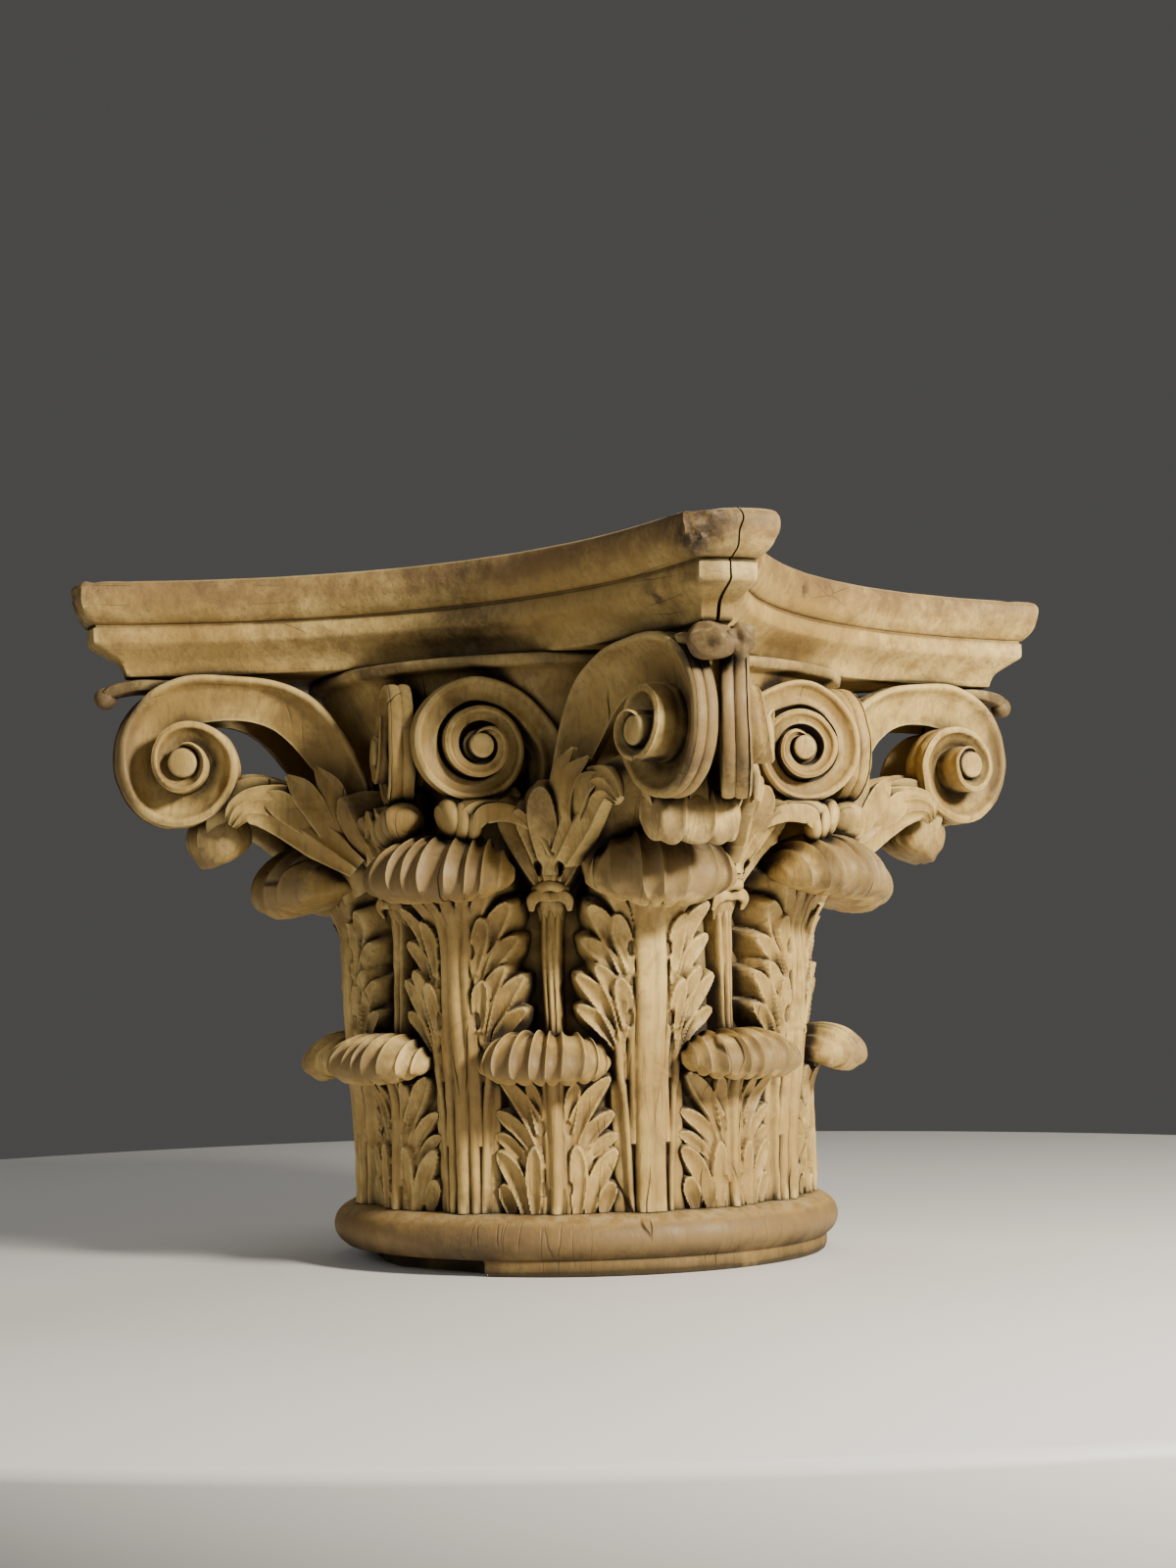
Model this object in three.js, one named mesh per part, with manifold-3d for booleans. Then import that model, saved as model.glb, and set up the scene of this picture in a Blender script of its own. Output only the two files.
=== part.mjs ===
// Carved wooden Corinthian capital: abacus, carved bell and astragal ring.
// Millimetres, +Z up. The origin is the middle of the underside, and the four faces look along X and Y,
// so the four corners stand on the diagonals. An azimuth turns from -Y towards +X.

import * as THREE from 'three';
import { mergeVertices } from 'three/addons/utils/BufferGeometryUtils.js';
import Module from 'manifold-3d';

const wasm = await Module();
wasm.setup();

// ---- Driving dimensions, mm ----

const SEAM = 0.3; // open joint between two stacked pieces
const TOTAL_HEIGHT = 336;
const ABACUS_THICKNESS = 45.5;
const RING_HEIGHT = 28.4;
const ABACUS_FOOT = TOTAL_HEIGHT - ABACUS_THICKNESS;
const BELL_FOOT = RING_HEIGHT + SEAM;
const BELL_TOP = ABACUS_FOOT - SEAM;

const BELL_RADIUS = 105; // the wall behind the leaves
const LIP_RADIUS = 137.5; // the rim of the bell under the abacus
const LIP_DEPTH = 9;
const FLARE_START = 200; // height where the wall starts to flare
const FLARE_REACH = 27;

const CORNER_REACH = 231.5; // abacus underside, axis to the cut-off corner
const SIDE_REACH = 118; // abacus underside, axis to the hollow of a side

const RING_BEAD_RADIUS = 128.5; // widest part of the astragal
const RING_FILLET_RADIUS = 116;
const RING_FILLET_HEIGHT = 6.5;

const LOWER_LEAF_WIDTH = 55;
const UPPER_STEM_WIDTH = 22;
const STALK_OFFSET = Math.PI / 8; // stalks and lower leaves stand between the upper leaves
const CALYX_RADIUS = 125; // where the scrolls spring from

const VOLUTE = {
  reach: 236, // axis to the outermost edge
  eyeHeight: 246.2,
  faceHalf: 13, // middle line to the face at the outermost edge
  eyeSetback: 33, // outermost edge to the eye
  crown: 43.5, // eye to the crown of the arch
  quarterShrink: 0.83, // how much the spiral tightens in each quarter turn
  turns: 0.875,
  stem: [
    [[-93, -34], [-79, -36]],
    [[-87, -8], [-70, -14]],
    [[-72, 21], [-53, 4]],
    [[-42, 41], [-30, 20]],
  ],
  thickness: 13,
  drumRadius: 16,
  drumRelief: 13, // how far the inner coil stands out of the ribbon's face
};

const HELIX = {
  reach: 163,
  eyeHeight: 246.5,
  faceHalf: 7,
  eyeSetback: 30,
  crown: 33,
  quarterShrink: 0.87,
  turns: 0.75,
  stem: [
    [[-38, -42], [-26, -42]],
    [[-43, -8], [-27, -8]],
    [[-28, 24], [-20, 0]],
  ],
  thickness: 12,
};

const QUARTER = Math.PI / 2;
const EIGHTH = Math.PI / 4;

// ---- Placing points ----

// A point at an azimuth, a radius and a height; sideways is a step along the tangent.
function spot(azimuth, radius, height, sideways = 0) {
  const across = new THREE.Vector3(Math.cos(azimuth), Math.sin(azimuth), 0);
  const out = new THREE.Vector3(Math.sin(azimuth), -Math.cos(azimuth), 0);
  return out.multiplyScalar(radius).addScaledVector(across, sideways).setZ(height);
}

// The same, with the sideways step bent round the wall.
function wallSpot(azimuth, radius, height, sideways) {
  return spot(azimuth + sideways / radius, radius, height);
}

function signedVolume(positions, index) {
  const a = new THREE.Vector3();
  const b = new THREE.Vector3();
  const c = new THREE.Vector3();
  let volume = 0;
  for (let i = 0; i < index.length; i += 3) {
    a.fromArray(positions, index[i] * 3);
    b.fromArray(positions, index[i + 1] * 3);
    c.fromArray(positions, index[i + 2] * 3);
    volume += a.dot(b.cross(c)) / 6;
  }
  return volume;
}

// ---- Solids ----

// Turns a closed geometry into a solid, with its faces pointing out.
function solid(geometry) {
  const bare = geometry.index ? geometry : mergeVertices(geometry);
  bare.deleteAttribute('normal');
  bare.deleteAttribute('uv');
  const merged = mergeVertices(bare, 1e-4);
  const vertProperties = new Float32Array(merged.getAttribute('position').array);
  const triVerts = new Uint32Array(merged.index.array);
  if (signedVolume(vertProperties, triVerts) < 0) {
    for (let i = 0; i < triVerts.length; i += 3) {
      [triVerts[i], triVerts[i + 1]] = [triVerts[i + 1], triVerts[i]];
    }
  }
  return new wasm.Manifold(new wasm.Mesh({ numProp: 3, vertProperties, triVerts }));
}

// A closed skin over a row of rings, each a list of as many points.
function loft(rings) {
  const count = rings[0].length;
  const positions = [];
  const index = [];
  rings.forEach((ring) => ring.forEach((point) => positions.push(point.x, point.y, point.z)));
  for (let row = 0; row + 1 < rings.length; row += 1) {
    for (let i = 0; i < count; i += 1) {
      const a = row * count + i;
      const b = row * count + ((i + 1) % count);
      index.push(a, b, b + count, a, b + count, a + count);
    }
  }
  const middle = (ring) => {
    const sum = new THREE.Vector3();
    ring.forEach((point) => sum.add(point));
    return sum.divideScalar(count);
  };
  const bottom = positions.length / 3;
  positions.push(...middle(rings[0]).toArray(), ...middle(rings[rings.length - 1]).toArray());
  const lastRow = (rings.length - 1) * count;
  for (let i = 0; i < count; i += 1) {
    const next = (i + 1) % count;
    index.push(bottom, next, i, bottom + 1, lastRow + i, lastRow + next);
  }
  const geometry = new THREE.BufferGeometry();
  geometry.setAttribute('position', new THREE.Float32BufferAttribute(positions, 3));
  geometry.setIndex(index);
  return solid(geometry);
}

// A turned body from a profile of [radius, height] pairs that starts and ends on the axis.
function turned(profile, segments) {
  const points = profile.map(([radius, height]) => new THREE.Vector2(radius, height));
  const geometry = new THREE.LatheGeometry(points, segments);
  geometry.rotateX(QUARTER);
  return solid(geometry);
}

function joined(solids) {
  return solids.reduce((whole, next) => whole.add(next));
}

// The cross-section of leaves and stems, as shares of the half width and the depth.
const LENS = [[-1, 0], [-0.55, 0.5], [0.55, 0.5], [1, 0], [0.55, -0.5], [-0.55, -0.5]];

// A leaf or stem that follows a path of stations in the upright plane at an azimuth. Each station gives
// the radius and height of its middle line, the lean of the path from upright, a half width and a depth.
function blade(azimuth, stations) {
  return loft(stations.map(({ radius, height, lean, half, depth }) => LENS.map(([u, v]) => (
    wallSpot(azimuth, radius + v * depth * Math.cos(lean), height - v * depth * Math.sin(lean), u * half)))));
}

// A flat outline of [x, y] points, thickened by depth and then placed point by point.
function plate(outline, depth, place) {
  const shape = new THREE.Shape(outline.map(([x, y]) => new THREE.Vector2(x, y)));
  const geometry = new THREE.ExtrudeGeometry(shape, { depth, bevelEnabled: false });
  const position = geometry.getAttribute('position');
  for (let i = 0; i < position.count; i += 1) {
    const point = place(position.getX(i), position.getY(i), position.getZ(i));
    position.setXYZ(i, point.x, point.y, point.z);
  }
  return solid(geometry);
}

// ---- Abacus ----

// How the cut-off corner's half width and the hollow of the sides follow the corner's reach.
function cornerHalf(reach) {
  const lower = 7 + 0.34 * (Math.min(reach, CORNER_REACH + 18.5) - CORNER_REACH);
  return lower + 0.84 * Math.max(reach - CORNER_REACH - 18.5, 0);
}

function sideReach(reach) {
  return SIDE_REACH + 0.61 * (reach - CORNER_REACH) + 0.09 * Math.max(reach - CORNER_REACH - 18.5, 0);
}

// The circle arc from one corner to the next through the hollow of the side.
function hollowArc(start, end, middle, steps) {
  const chord = end.clone().sub(start);
  const chordMiddle = start.clone().add(end).multiplyScalar(0.5);
  const sag = chordMiddle.distanceTo(middle);
  const radius = (sag * sag + chord.lengthSq() / 4) / (2 * sag);
  const outward = chordMiddle.clone().sub(middle).normalize();
  const centre = middle.clone().addScaledVector(outward, radius);
  const along = chord.clone().normalize();
  const sweep = Math.asin(chord.length() / 2 / radius);
  const points = [];
  for (let i = 1; i < steps; i += 1) {
    const angle = sweep * ((2 * i) / steps - 1);
    const point = centre.clone().addScaledVector(along, radius * Math.sin(angle));
    points.push(point.addScaledVector(outward, -radius * Math.cos(angle)));
  }
  return points;
}

function abacusOutline(reach, height) {
  const half = cornerHalf(reach);
  const bulge = 5 * (half / 22) ** 2;
  const outline = [];
  for (let k = 0; k < 4; k += 1) {
    const azimuth = EIGHTH + k * QUARTER;
    const start = spot(azimuth, reach - bulge, height, half);
    const end = spot(azimuth + QUARTER, reach - bulge, height, -half);
    const middle = spot(azimuth + EIGHTH, sideReach(reach), height);
    outline.push(spot(azimuth, reach - bulge, height, -half), spot(azimuth, reach, height), start);
    outline.push(...hollowArc(start, end, middle, 8));
  }
  return outline;
}

// Fascia, cavetto, fillet and ovolo, as [reach, height above the underside].
function abacusMoulding() {
  const moulding = [[0, 0], [3.5, 6.5], [16.1, 14.5], [18, 18.5], [18.5, 24.6]];
  for (let degrees = -72; degrees <= 73; degrees += 48) {
    const angle = THREE.MathUtils.degToRad(degrees);
    const rise = degrees < 0 ? 12 : 8.9;
    moulding.push([18.5 + 11 * Math.cos(angle), 37 + rise * Math.sin(angle)]);
  }
  moulding[moulding.length - 1][1] = ABACUS_THICKNESS;
  return moulding;
}

function abacus() {
  return loft(abacusMoulding().map(([step, rise]) => abacusOutline(CORNER_REACH + step, ABACUS_FOOT + rise)));
}

// ---- Astragal ring ----

function astragal() {
  const profile = [[0, 0], [RING_FILLET_RADIUS - 2, 0], [RING_FILLET_RADIUS, RING_FILLET_HEIGHT]];
  for (let degrees = -70; degrees <= 70; degrees += 28) {
    const angle = THREE.MathUtils.degToRad(degrees);
    profile.push([RING_BEAD_RADIUS - 11 + 11 * Math.cos(angle), 17.2 + 11 * Math.sin(angle)]);
  }
  profile.push([RING_FILLET_RADIUS + 1, RING_HEIGHT], [0, RING_HEIGHT]);
  return turned(profile, 36);
}

// The stretch where the fillet under the bead has broken away.
function brokenFillet() {
  const rings = [];
  for (let degrees = -84; degrees <= 6; degrees += 10) {
    const azimuth = THREE.MathUtils.degToRad(degrees);
    const bite = 105 + 2.5 * Math.sin(degrees * 0.9);
    rings.push([[bite, -1], [125, -1], [125, RING_FILLET_HEIGHT], [bite, RING_FILLET_HEIGHT - 0.4]]
      .map(([radius, height]) => spot(azimuth, radius, height)));
  }
  return loft(rings);
}

// ---- Bell ----

function bellWall() {
  const profile = [[0, BELL_FOOT], [BELL_RADIUS, BELL_FOOT], [BELL_RADIUS, FLARE_START]];
  const flareTop = BELL_TOP - LIP_DEPTH;
  for (let step = 1; step <= 3; step += 1) {
    const share = step / 3;
    const height = FLARE_START + share * (flareTop - FLARE_START);
    profile.push([BELL_RADIUS + FLARE_REACH * share ** 1.9, height]);
  }
  profile.push([LIP_RADIUS, flareTop + 1.5], [LIP_RADIUS, BELL_TOP], [0, BELL_TOP]);
  return turned(profile, 24);
}

// ---- Leaves ----

function lowerLeaf(azimuth) {
  const half = LOWER_LEAF_WIDTH / 2;
  return blade(azimuth, [
    { radius: 109, height: BELL_FOOT, lean: 0, half, depth: 16 },
    { radius: 110, height: 84, lean: 0.15, half, depth: 15 },
    { radius: 117, height: 99, lean: 0.8, half: half + 3, depth: 16 },
    { radius: 129, height: 104, lean: 1.5, half: half + 3.5, depth: 16 },
    { radius: 137, height: 98.5, lean: 2.3, half, depth: 14 },
    { radius: 137, height: 90, lean: 3.05, half: half - 12, depth: 7 },
  ]);
}

// The tips and notches of a fan of three pointed leaflets, from its short lowest one to its top one.
function leafletFan({ rootHeight, length, lean }) {
  const reachTo = (turn, reach) => [13 + reach * Math.sin(turn), rootHeight + reach * Math.cos(turn)];
  const points = [];
  for (let i = 1; i >= -1; i -= 1) {
    const turn = lean + i * 0.23;
    const reach = i === 1 ? length * 0.75 : length;
    points.push(reachTo(turn, reach), reachTo(turn - 0.12, length * 0.66));
  }
  return points;
}

// The flat part of an upper leaf: its stem with two fans of leaflets on each side.
function upperLeafPlate(azimuth) {
  const half = UPPER_STEM_WIDTH / 2;
  const edge = [[half, BELL_FOOT], [half + 1, 96], ...leafletFan(LOWER_FAN), [half + 4, 131]];
  edge.push(...leafletFan(UPPER_FAN), [half + 5, 176]);
  const mirrored = edge.map(([across, height]) => [-across, height]).reverse();
  return plate([...edge, ...mirrored], 15, (across, height, depth) => (
    wallSpot(azimuth, BELL_RADIUS - 2 + depth, height, across)));
}

function upperLeafCurl(azimuth, noseRadius) {
  const half = UPPER_STEM_WIDTH / 2;
  return blade(azimuth, [
    { radius: 116, height: 158, lean: 0.2, half: half + 2, depth: 16 },
    { radius: 127, height: 184, lean: 0.8, half: half + 22, depth: 17 },
    { radius: 146, height: 194, lean: 1.5, half: half + 23, depth: 17 },
    { radius: noseRadius - 9.5, height: 190, lean: 2.3, half: half + 19, depth: 16 },
    { radius: noseRadius - 9, height: 177, lean: 3.05, half: half + 5, depth: 8 },
  ]);
}

const LOWER_FAN = { rootHeight: 101, length: 43, lean: 0.54 };
const UPPER_FAN = { rootHeight: 132.5, length: 42, lean: 0.42 };

// A stalk with its collar and the calyx that the scrolls spring from.
function stalk(azimuth) {
  return blade(azimuth, [
    { radius: 108, height: 106, lean: 0, half: 4, depth: 11 },
    { radius: 109, height: 166, lean: 0, half: 5, depth: 11 },
    { radius: 110, height: 168, lean: 0, half: 10, depth: 16 },
    { radius: 111, height: 179, lean: 0, half: 9.5, depth: 16 },
    { radius: 116, height: 212, lean: 0.2, half: 14, depth: 19 },
    { radius: 122, height: 229, lean: 0.3, half: 6, depth: 10 },
  ]);
}

// ---- Scrolls ----

// The upright plane of a scroll's face, from the calyx beside it to its outermost edge, as a function that
// places x along the plane from the eye, y up and w out of its face. side is +1 or -1.
function scrollPlane(azimuth, side, scroll) {
  const start = new THREE.Vector2(CALYX_RADIUS, 0).rotateAround(new THREE.Vector2(), STALK_OFFSET);
  const end = new THREE.Vector2(scroll.reach, scroll.faceHalf);
  const along = end.clone().sub(start).normalize();
  const eye = end.clone().addScaledVector(along, -scroll.eyeSetback);
  return (x, y, w) => {
    const radius = eye.x + along.x * x - along.y * w;
    const sideways = eye.y + along.y * x + along.x * w;
    return spot(azimuth, radius, scroll.eyeHeight + y, side * sideways);
  };
}

// The outline of a scroll seen on its face: up the outer edge of the stem, round the spiral and back down
// the inner edge. Each stem row is [outer edge, inner edge], from the calyx to just before the crown.
function scrollOutline({ crown, quarterShrink, stem, turns }) {
  const outline = stem.map(([outer]) => outer);
  const steps = turns * 8;
  for (let step = 0; step <= steps; step += 1) {
    const turn = QUARTER - step * EIGHTH;
    const radius = crown * quarterShrink ** (step / 2);
    outline.push([radius * Math.cos(turn), radius * Math.sin(turn)]);
  }
  return [...outline, ...stem.map(([, inner]) => inner).reverse()];
}

function scrollPlate(place, scroll) {
  const { thickness } = scroll;
  return plate(scrollOutline(scroll), thickness, (x, y, depth) => place(x, y, depth - thickness));
}

// The inner coil: a short drum on the eye's axis, narrower at its face.
function scrollDrum(place, { drumRadius, drumRelief }) {
  const ring = (radius, w) => {
    const points = [];
    for (let i = 0; i < 8; i += 1) {
      const angle = i * EIGHTH;
      points.push(place(radius * Math.cos(angle), radius * Math.sin(angle), w));
    }
    return points;
  };
  return loft([ring(drumRadius + 3, -2), ring(drumRadius - 1, drumRelief)]);
}

function cornerVolute(azimuth, side) {
  const place = scrollPlane(azimuth, side, VOLUTE);
  return [scrollPlate(place, VOLUTE), scrollDrum(place, VOLUTE)];
}

function innerHelix(azimuth, side) {
  return scrollPlate(scrollPlane(azimuth, side, HELIX), HELIX);
}

// The leaf that arches out of the two calyces and carries the volutes on its turned-down tip.
function cornerLeaf(azimuth) {
  const stations = [
    { radius: 112, height: 198, lean: 0.2, half: 40, depth: 13 },
    { radius: 128, height: 220, lean: 0.8, half: 41, depth: 12 },
    { radius: 150, height: 234, lean: 1.3, half: 33, depth: 13 },
    { radius: 174, height: 234, lean: 1.9, half: 27, depth: 14 },
    { radius: 190, height: 219, lean: 2.7, half: 25, depth: 18 },
    { radius: 188, height: 198, lean: 3.1, half: 18, depth: 9 },
  ];
  return loft(stations.map(({ radius, height, lean, half, depth }) => LENS.map(([u, v]) => (
    spot(azimuth, radius + v * depth * Math.cos(lean), height - v * depth * Math.sin(lean), u * half)))));
}

// The small leaf under a helix, in the helix's own plane.
function helixLeaf(azimuth, side) {
  const place = scrollPlane(azimuth, side, HELIX);
  const stations = [[-33, -46, 9], [-24, -33, 9], [-5, -30.5, 9], [11, -34, 8], [9, -41, 4]];
  const rings = stations.map(([x, y, depth], i) => {
    const before = stations[Math.max(i - 1, 0)];
    const after = stations[Math.min(i + 1, stations.length - 1)];
    const lean = Math.atan2(after[1] - before[1], after[0] - before[0]) + QUARTER;
    const half = i === stations.length - 1 ? 6 : 10;
    return [[-1, 0], [0, 0.5], [1, 0], [0, -0.5]].map(([u, v]) => (
      place(x + v * depth * Math.cos(lean), y + v * depth * Math.sin(lean), u * half - 6)));
  });
  return loft(rings);
}

// The bud that curls out from under the abacus corner.
function cornerBud(azimuth) {
  const stations = [[205, 284, 8, 9], [226, 284.5, 10, 9], [238, 283.5, 9, 11], [243.5, 282, 5, 7]];
  const rings = stations.map(([radius, height, half, depth]) => (
    [[-1, 0], [-0.6, 0.5], [0.6, 0.5], [1, 0], [0.6, -0.5], [-0.6, -0.5]].map(([u, v]) => (
      spot(azimuth, radius, height + v * depth, u * half)))));
  return loft(rings);
}

function carvedBell() {
  const parts = [bellWall()];
  for (let k = 0; k < 8; k += 1) {
    const onCorner = k % 2 === 1;
    const azimuth = k * EIGHTH;
    parts.push(upperLeafPlate(azimuth), upperLeafCurl(azimuth, onCorner ? 169 : 165));
    parts.push(lowerLeaf(azimuth + STALK_OFFSET));
    parts.push(stalk(azimuth + STALK_OFFSET));
    [-1, 1].forEach((side) => {
      if (onCorner) parts.push(...cornerVolute(azimuth, side));
      else parts.push(innerHelix(azimuth, side), helixLeaf(azimuth, side));
    });
    if (onCorner) parts.push(cornerLeaf(azimuth), cornerBud(azimuth));
  }
  return joined(parts);
}

// ---- Model ----

function piece(name, body, color, roughness) {
  const { vertProperties, triVerts } = body.getMesh();
  const geometry = new THREE.BufferGeometry();
  geometry.setAttribute('position', new THREE.BufferAttribute(vertProperties, 3));
  geometry.setIndex(new THREE.BufferAttribute(triVerts, 1));
  geometry.computeVertexNormals();
  const mesh = new THREE.Mesh(geometry, new THREE.MeshStandardMaterial({ color, roughness, metalness: 0 }));
  mesh.name = name;
  return mesh;
}

const capital = new THREE.Group();
capital.add(
  piece('abacus', abacus(), 0xc2a877, 0.6),
  piece('carved_bell', carvedBell(), 0xb99c68, 0.65),
  piece('astragal_ring', astragal().subtract(brokenFillet()), 0x9c8560, 0.6),
);

export default capital;
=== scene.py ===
# %% [markdown]
# # A carved Corinthian capital in old worn wood
# The real object is three stacked pieces: a turned foot ring, a bell carved all over with leaves and
# scrolls, and a moulded slab on top, the abacus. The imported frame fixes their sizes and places. Here each
# piece gets the finer cutting that the plain solids leave out. Everything is worked out in millimetres, as
# a carver would mark it, and turned into metres when a mesh is made.

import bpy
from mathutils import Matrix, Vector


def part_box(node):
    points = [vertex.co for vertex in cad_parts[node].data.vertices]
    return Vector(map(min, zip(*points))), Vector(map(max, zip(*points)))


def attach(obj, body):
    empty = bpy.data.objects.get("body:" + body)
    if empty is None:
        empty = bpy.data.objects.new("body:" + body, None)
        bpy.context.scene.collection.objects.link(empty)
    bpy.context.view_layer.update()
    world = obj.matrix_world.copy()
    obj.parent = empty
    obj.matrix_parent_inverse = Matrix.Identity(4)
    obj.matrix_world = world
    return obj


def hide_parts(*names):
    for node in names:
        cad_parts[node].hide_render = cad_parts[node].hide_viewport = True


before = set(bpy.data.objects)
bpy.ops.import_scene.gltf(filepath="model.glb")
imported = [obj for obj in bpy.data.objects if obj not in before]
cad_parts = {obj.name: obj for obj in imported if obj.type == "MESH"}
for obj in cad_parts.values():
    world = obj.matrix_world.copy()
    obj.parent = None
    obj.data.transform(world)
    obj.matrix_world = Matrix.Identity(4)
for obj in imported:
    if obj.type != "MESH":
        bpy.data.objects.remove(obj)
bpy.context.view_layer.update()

# %% [markdown]
# ## Sizes
# Each piece of the real capital was turned or sawn to its height before it was carved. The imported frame
# already holds those heights. Reading them here, instead of typing them again, keeps the carving on its
# own wood.

# %% Sizes that the frame gives
import math

import bpy
import numpy as np
from mathutils import Matrix, Vector

MM = 0.001


def heights(node):
    """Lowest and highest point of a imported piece, in millimetres."""
    low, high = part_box(node)
    return low.z / MM, high.z / MM


RING_TOP = heights("astragal_ring")[1]
BELL_FOOT, BELL_TOP = heights("carved_bell")
ABACUS_FOOT, ABACUS_TOP = heights("abacus")
print("ring top", RING_TOP, "bell", BELL_FOOT, BELL_TOP, "abacus", ABACUS_FOOT, ABACUS_TOP)

# %% [markdown]
# ## Meshes from rings
# Nearly every carved form here is a closed skin over a row of rings: a leaf cut by level lines, a ribbon cut
# across its path, a moulding cut at each height. One function that skins rings is enough for all of them, and
# it always gives a closed body. The numbers are held in numpy arrays, which is many times faster than
# adding points one by one with bmesh.

# %% Skin a row of rings
def skin(rings):
    """A closed body over rings of shape (rows, columns, 3), as points, quads and cap triangles."""
    rows, columns, _ = rings.shape
    points = rings.reshape(-1, 3)
    start, end = len(points), len(points) + 1
    points = np.vstack([points, rings[0].mean(0), rings[-1].mean(0)])
    column = np.arange(columns)
    after = (column + 1) % columns
    row = np.arange(rows - 1)[:, None] * columns
    above = row + columns
    quads = np.stack([row + column, row + after, above + after, above + column], -1).reshape(-1, 4)
    last = (rows - 1) * columns
    caps = np.vstack([
        np.stack([np.full(columns, start), after, column], -1),
        np.stack([np.full(columns, end), last + column, last + after], -1),
    ])
    corners = points[quads]
    volume = np.einsum("ij,ij->i", corners[:, 0], np.cross(corners[:, 1], corners[:, 2])).sum()
    volume += np.einsum("ij,ij->i", corners[:, 0], np.cross(corners[:, 2], corners[:, 3])).sum()
    corners = points[caps]
    volume += np.einsum("ij,ij->i", corners[:, 0], np.cross(corners[:, 1], corners[:, 2])).sum()
    if volume < 0:
        quads = quads[:, ::-1]
        caps = caps[:, ::-1]
    return points, quads, caps


cube = skin(np.array([[(0, 0, z), (1, 0, z), (1, 1, z), (0, 1, z)] for z in (0, 1)], float))
print("the skin of a cube has", len(cube[0]), "points,", len(cube[1]), "quads and", len(cube[2]), "caps")

# %% [markdown]
# ## One object from many bodies
# The whole bell is carved from one block, tier by tier, and here each tier becomes one object. Its closed
# bodies overlap and only their outsides are seen. Joining them with Boolean modifiers would be slow and
# easily fails on thin edges. The points go into the mesh as whole arrays, which is quick even for a
# hundred thousand faces.

# %% Make one object
def make_piece(name, bodies, warp=None):
    """One mesh object from closed bodies, shaded smooth. warp moves the points for hand-cut unevenness."""
    points, quads, caps = [], [], []
    count = 0
    for body_points, body_quads, body_caps in bodies:
        points.append(body_points)
        quads.append(body_quads + count)
        caps.append(body_caps + count)
        count += len(body_points)
    points = np.vstack(points)
    if warp is not None:
        points = warp(points)
    quads = np.vstack(quads)
    caps = np.vstack(caps)
    mesh = bpy.data.meshes.new(name)
    mesh.vertices.add(len(points))
    mesh.vertices.foreach_set("co", (points * MM).astype(np.float32).ravel())
    mesh.loops.add(quads.size + caps.size)
    mesh.loops.foreach_set("vertex_index", np.concatenate([quads.ravel(), caps.ravel()]).astype(np.int32))
    mesh.polygons.add(len(quads) + len(caps))
    starts = np.concatenate([np.arange(len(quads)) * 4, quads.size + np.arange(len(caps)) * 3])
    mesh.polygons.foreach_set("loop_start", starts.astype(np.int32))
    mesh.polygons.foreach_set("use_smooth", np.ones(len(starts), bool))
    mesh.update(calc_edges=True)
    piece = bpy.data.objects.new(name, mesh)
    bpy.context.scene.collection.objects.link(piece)
    return piece


trial = make_piece("trial", [cube])
print("a trial object has", len(trial.data.polygons), "faces, and is taken away again")
bpy.data.meshes.remove(trial.data)

# %% [markdown]
# ## Thinning the mesh
# A height field has as many faces on its flats as on its edges. The Decimate modifier takes faces away
# where the surface is flat and leaves them where the gouge left an edge. Its result is kept and the
# modifier goes.

# %% Thin out
def thin_out(piece, triangles):
    """Collapses a piece to about so many triangles, most of them kept where the form bends."""
    faces = sum(len(p.vertices) - 2 for p in piece.data.polygons)
    if faces > triangles:
        modifier = piece.modifiers.new("thin", "DECIMATE")
        modifier.ratio = triangles / faces
        graph = bpy.context.evaluated_depsgraph_get()
        slim = bpy.data.meshes.new_from_object(piece.evaluated_get(graph))
        piece.modifiers.clear()
        piece.data = slim
    piece.data.set_sharp_from_angle(angle=math.radians(55))
    print(piece.name, "triangles", faces, "->", sum(len(p.vertices) - 2 for p in piece.data.polygons))
    return piece

# %% [markdown]
# ## Round the axis
# A capital is laid out with compasses: a thing is known by its angle round the axis, how far out it stands
# and how high. Azimuth 0 is the middle of one face. A leaf is drawn flat and then wrapped round the wall.

# %% Placing points round the axis
QUARTER = math.pi / 2
EIGHTH = math.pi / 4
STALK_OFFSET = math.pi / 8
WALL_RADIUS = 105
FACE_RADIUS = 117  # the leaves' outer surface near the foot


def spot(azimuth, radius, height, sideways=0.0):
    """Points at an azimuth that turns from -Y towards +X, with a step along the tangent."""
    radius, height, sideways = np.broadcast_arrays(radius, height, sideways)
    x = radius * math.sin(azimuth) + sideways * math.cos(azimuth)
    y = -radius * math.cos(azimuth) + sideways * math.sin(azimuth)
    return np.stack([x, y, height], -1)


def wall_spot(azimuth, radius, height, sideways):
    """The same, with the sideways step bent round the wall."""
    radius, height, sideways = np.broadcast_arrays(radius, height, sideways)
    turn = azimuth + sideways / FACE_RADIUS
    return np.stack([radius * np.sin(turn), -radius * np.cos(turn), height], -1)


print("foot of the first stalk", np.round(spot(STALK_OFFSET, WALL_RADIUS, BELL_FOOT), 1))

# %% [markdown]
# ## The hand in the work
# No two leaves of a hand-carved capital are alike, and no line is quite straight. A few crossing waves
# push the finished form about by a millimetre or so. Random numbers for each point would only roughen it,
# because neighbouring points have to move together.

# %% Eased ramps and hand-cut unevenness
def smooth(low, high, value):
    """0 below low, 1 above high, and an eased ramp between."""
    share = np.clip((value - low) / (high - low), 0, 1)
    return share * share * (3 - 2 * share)


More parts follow.
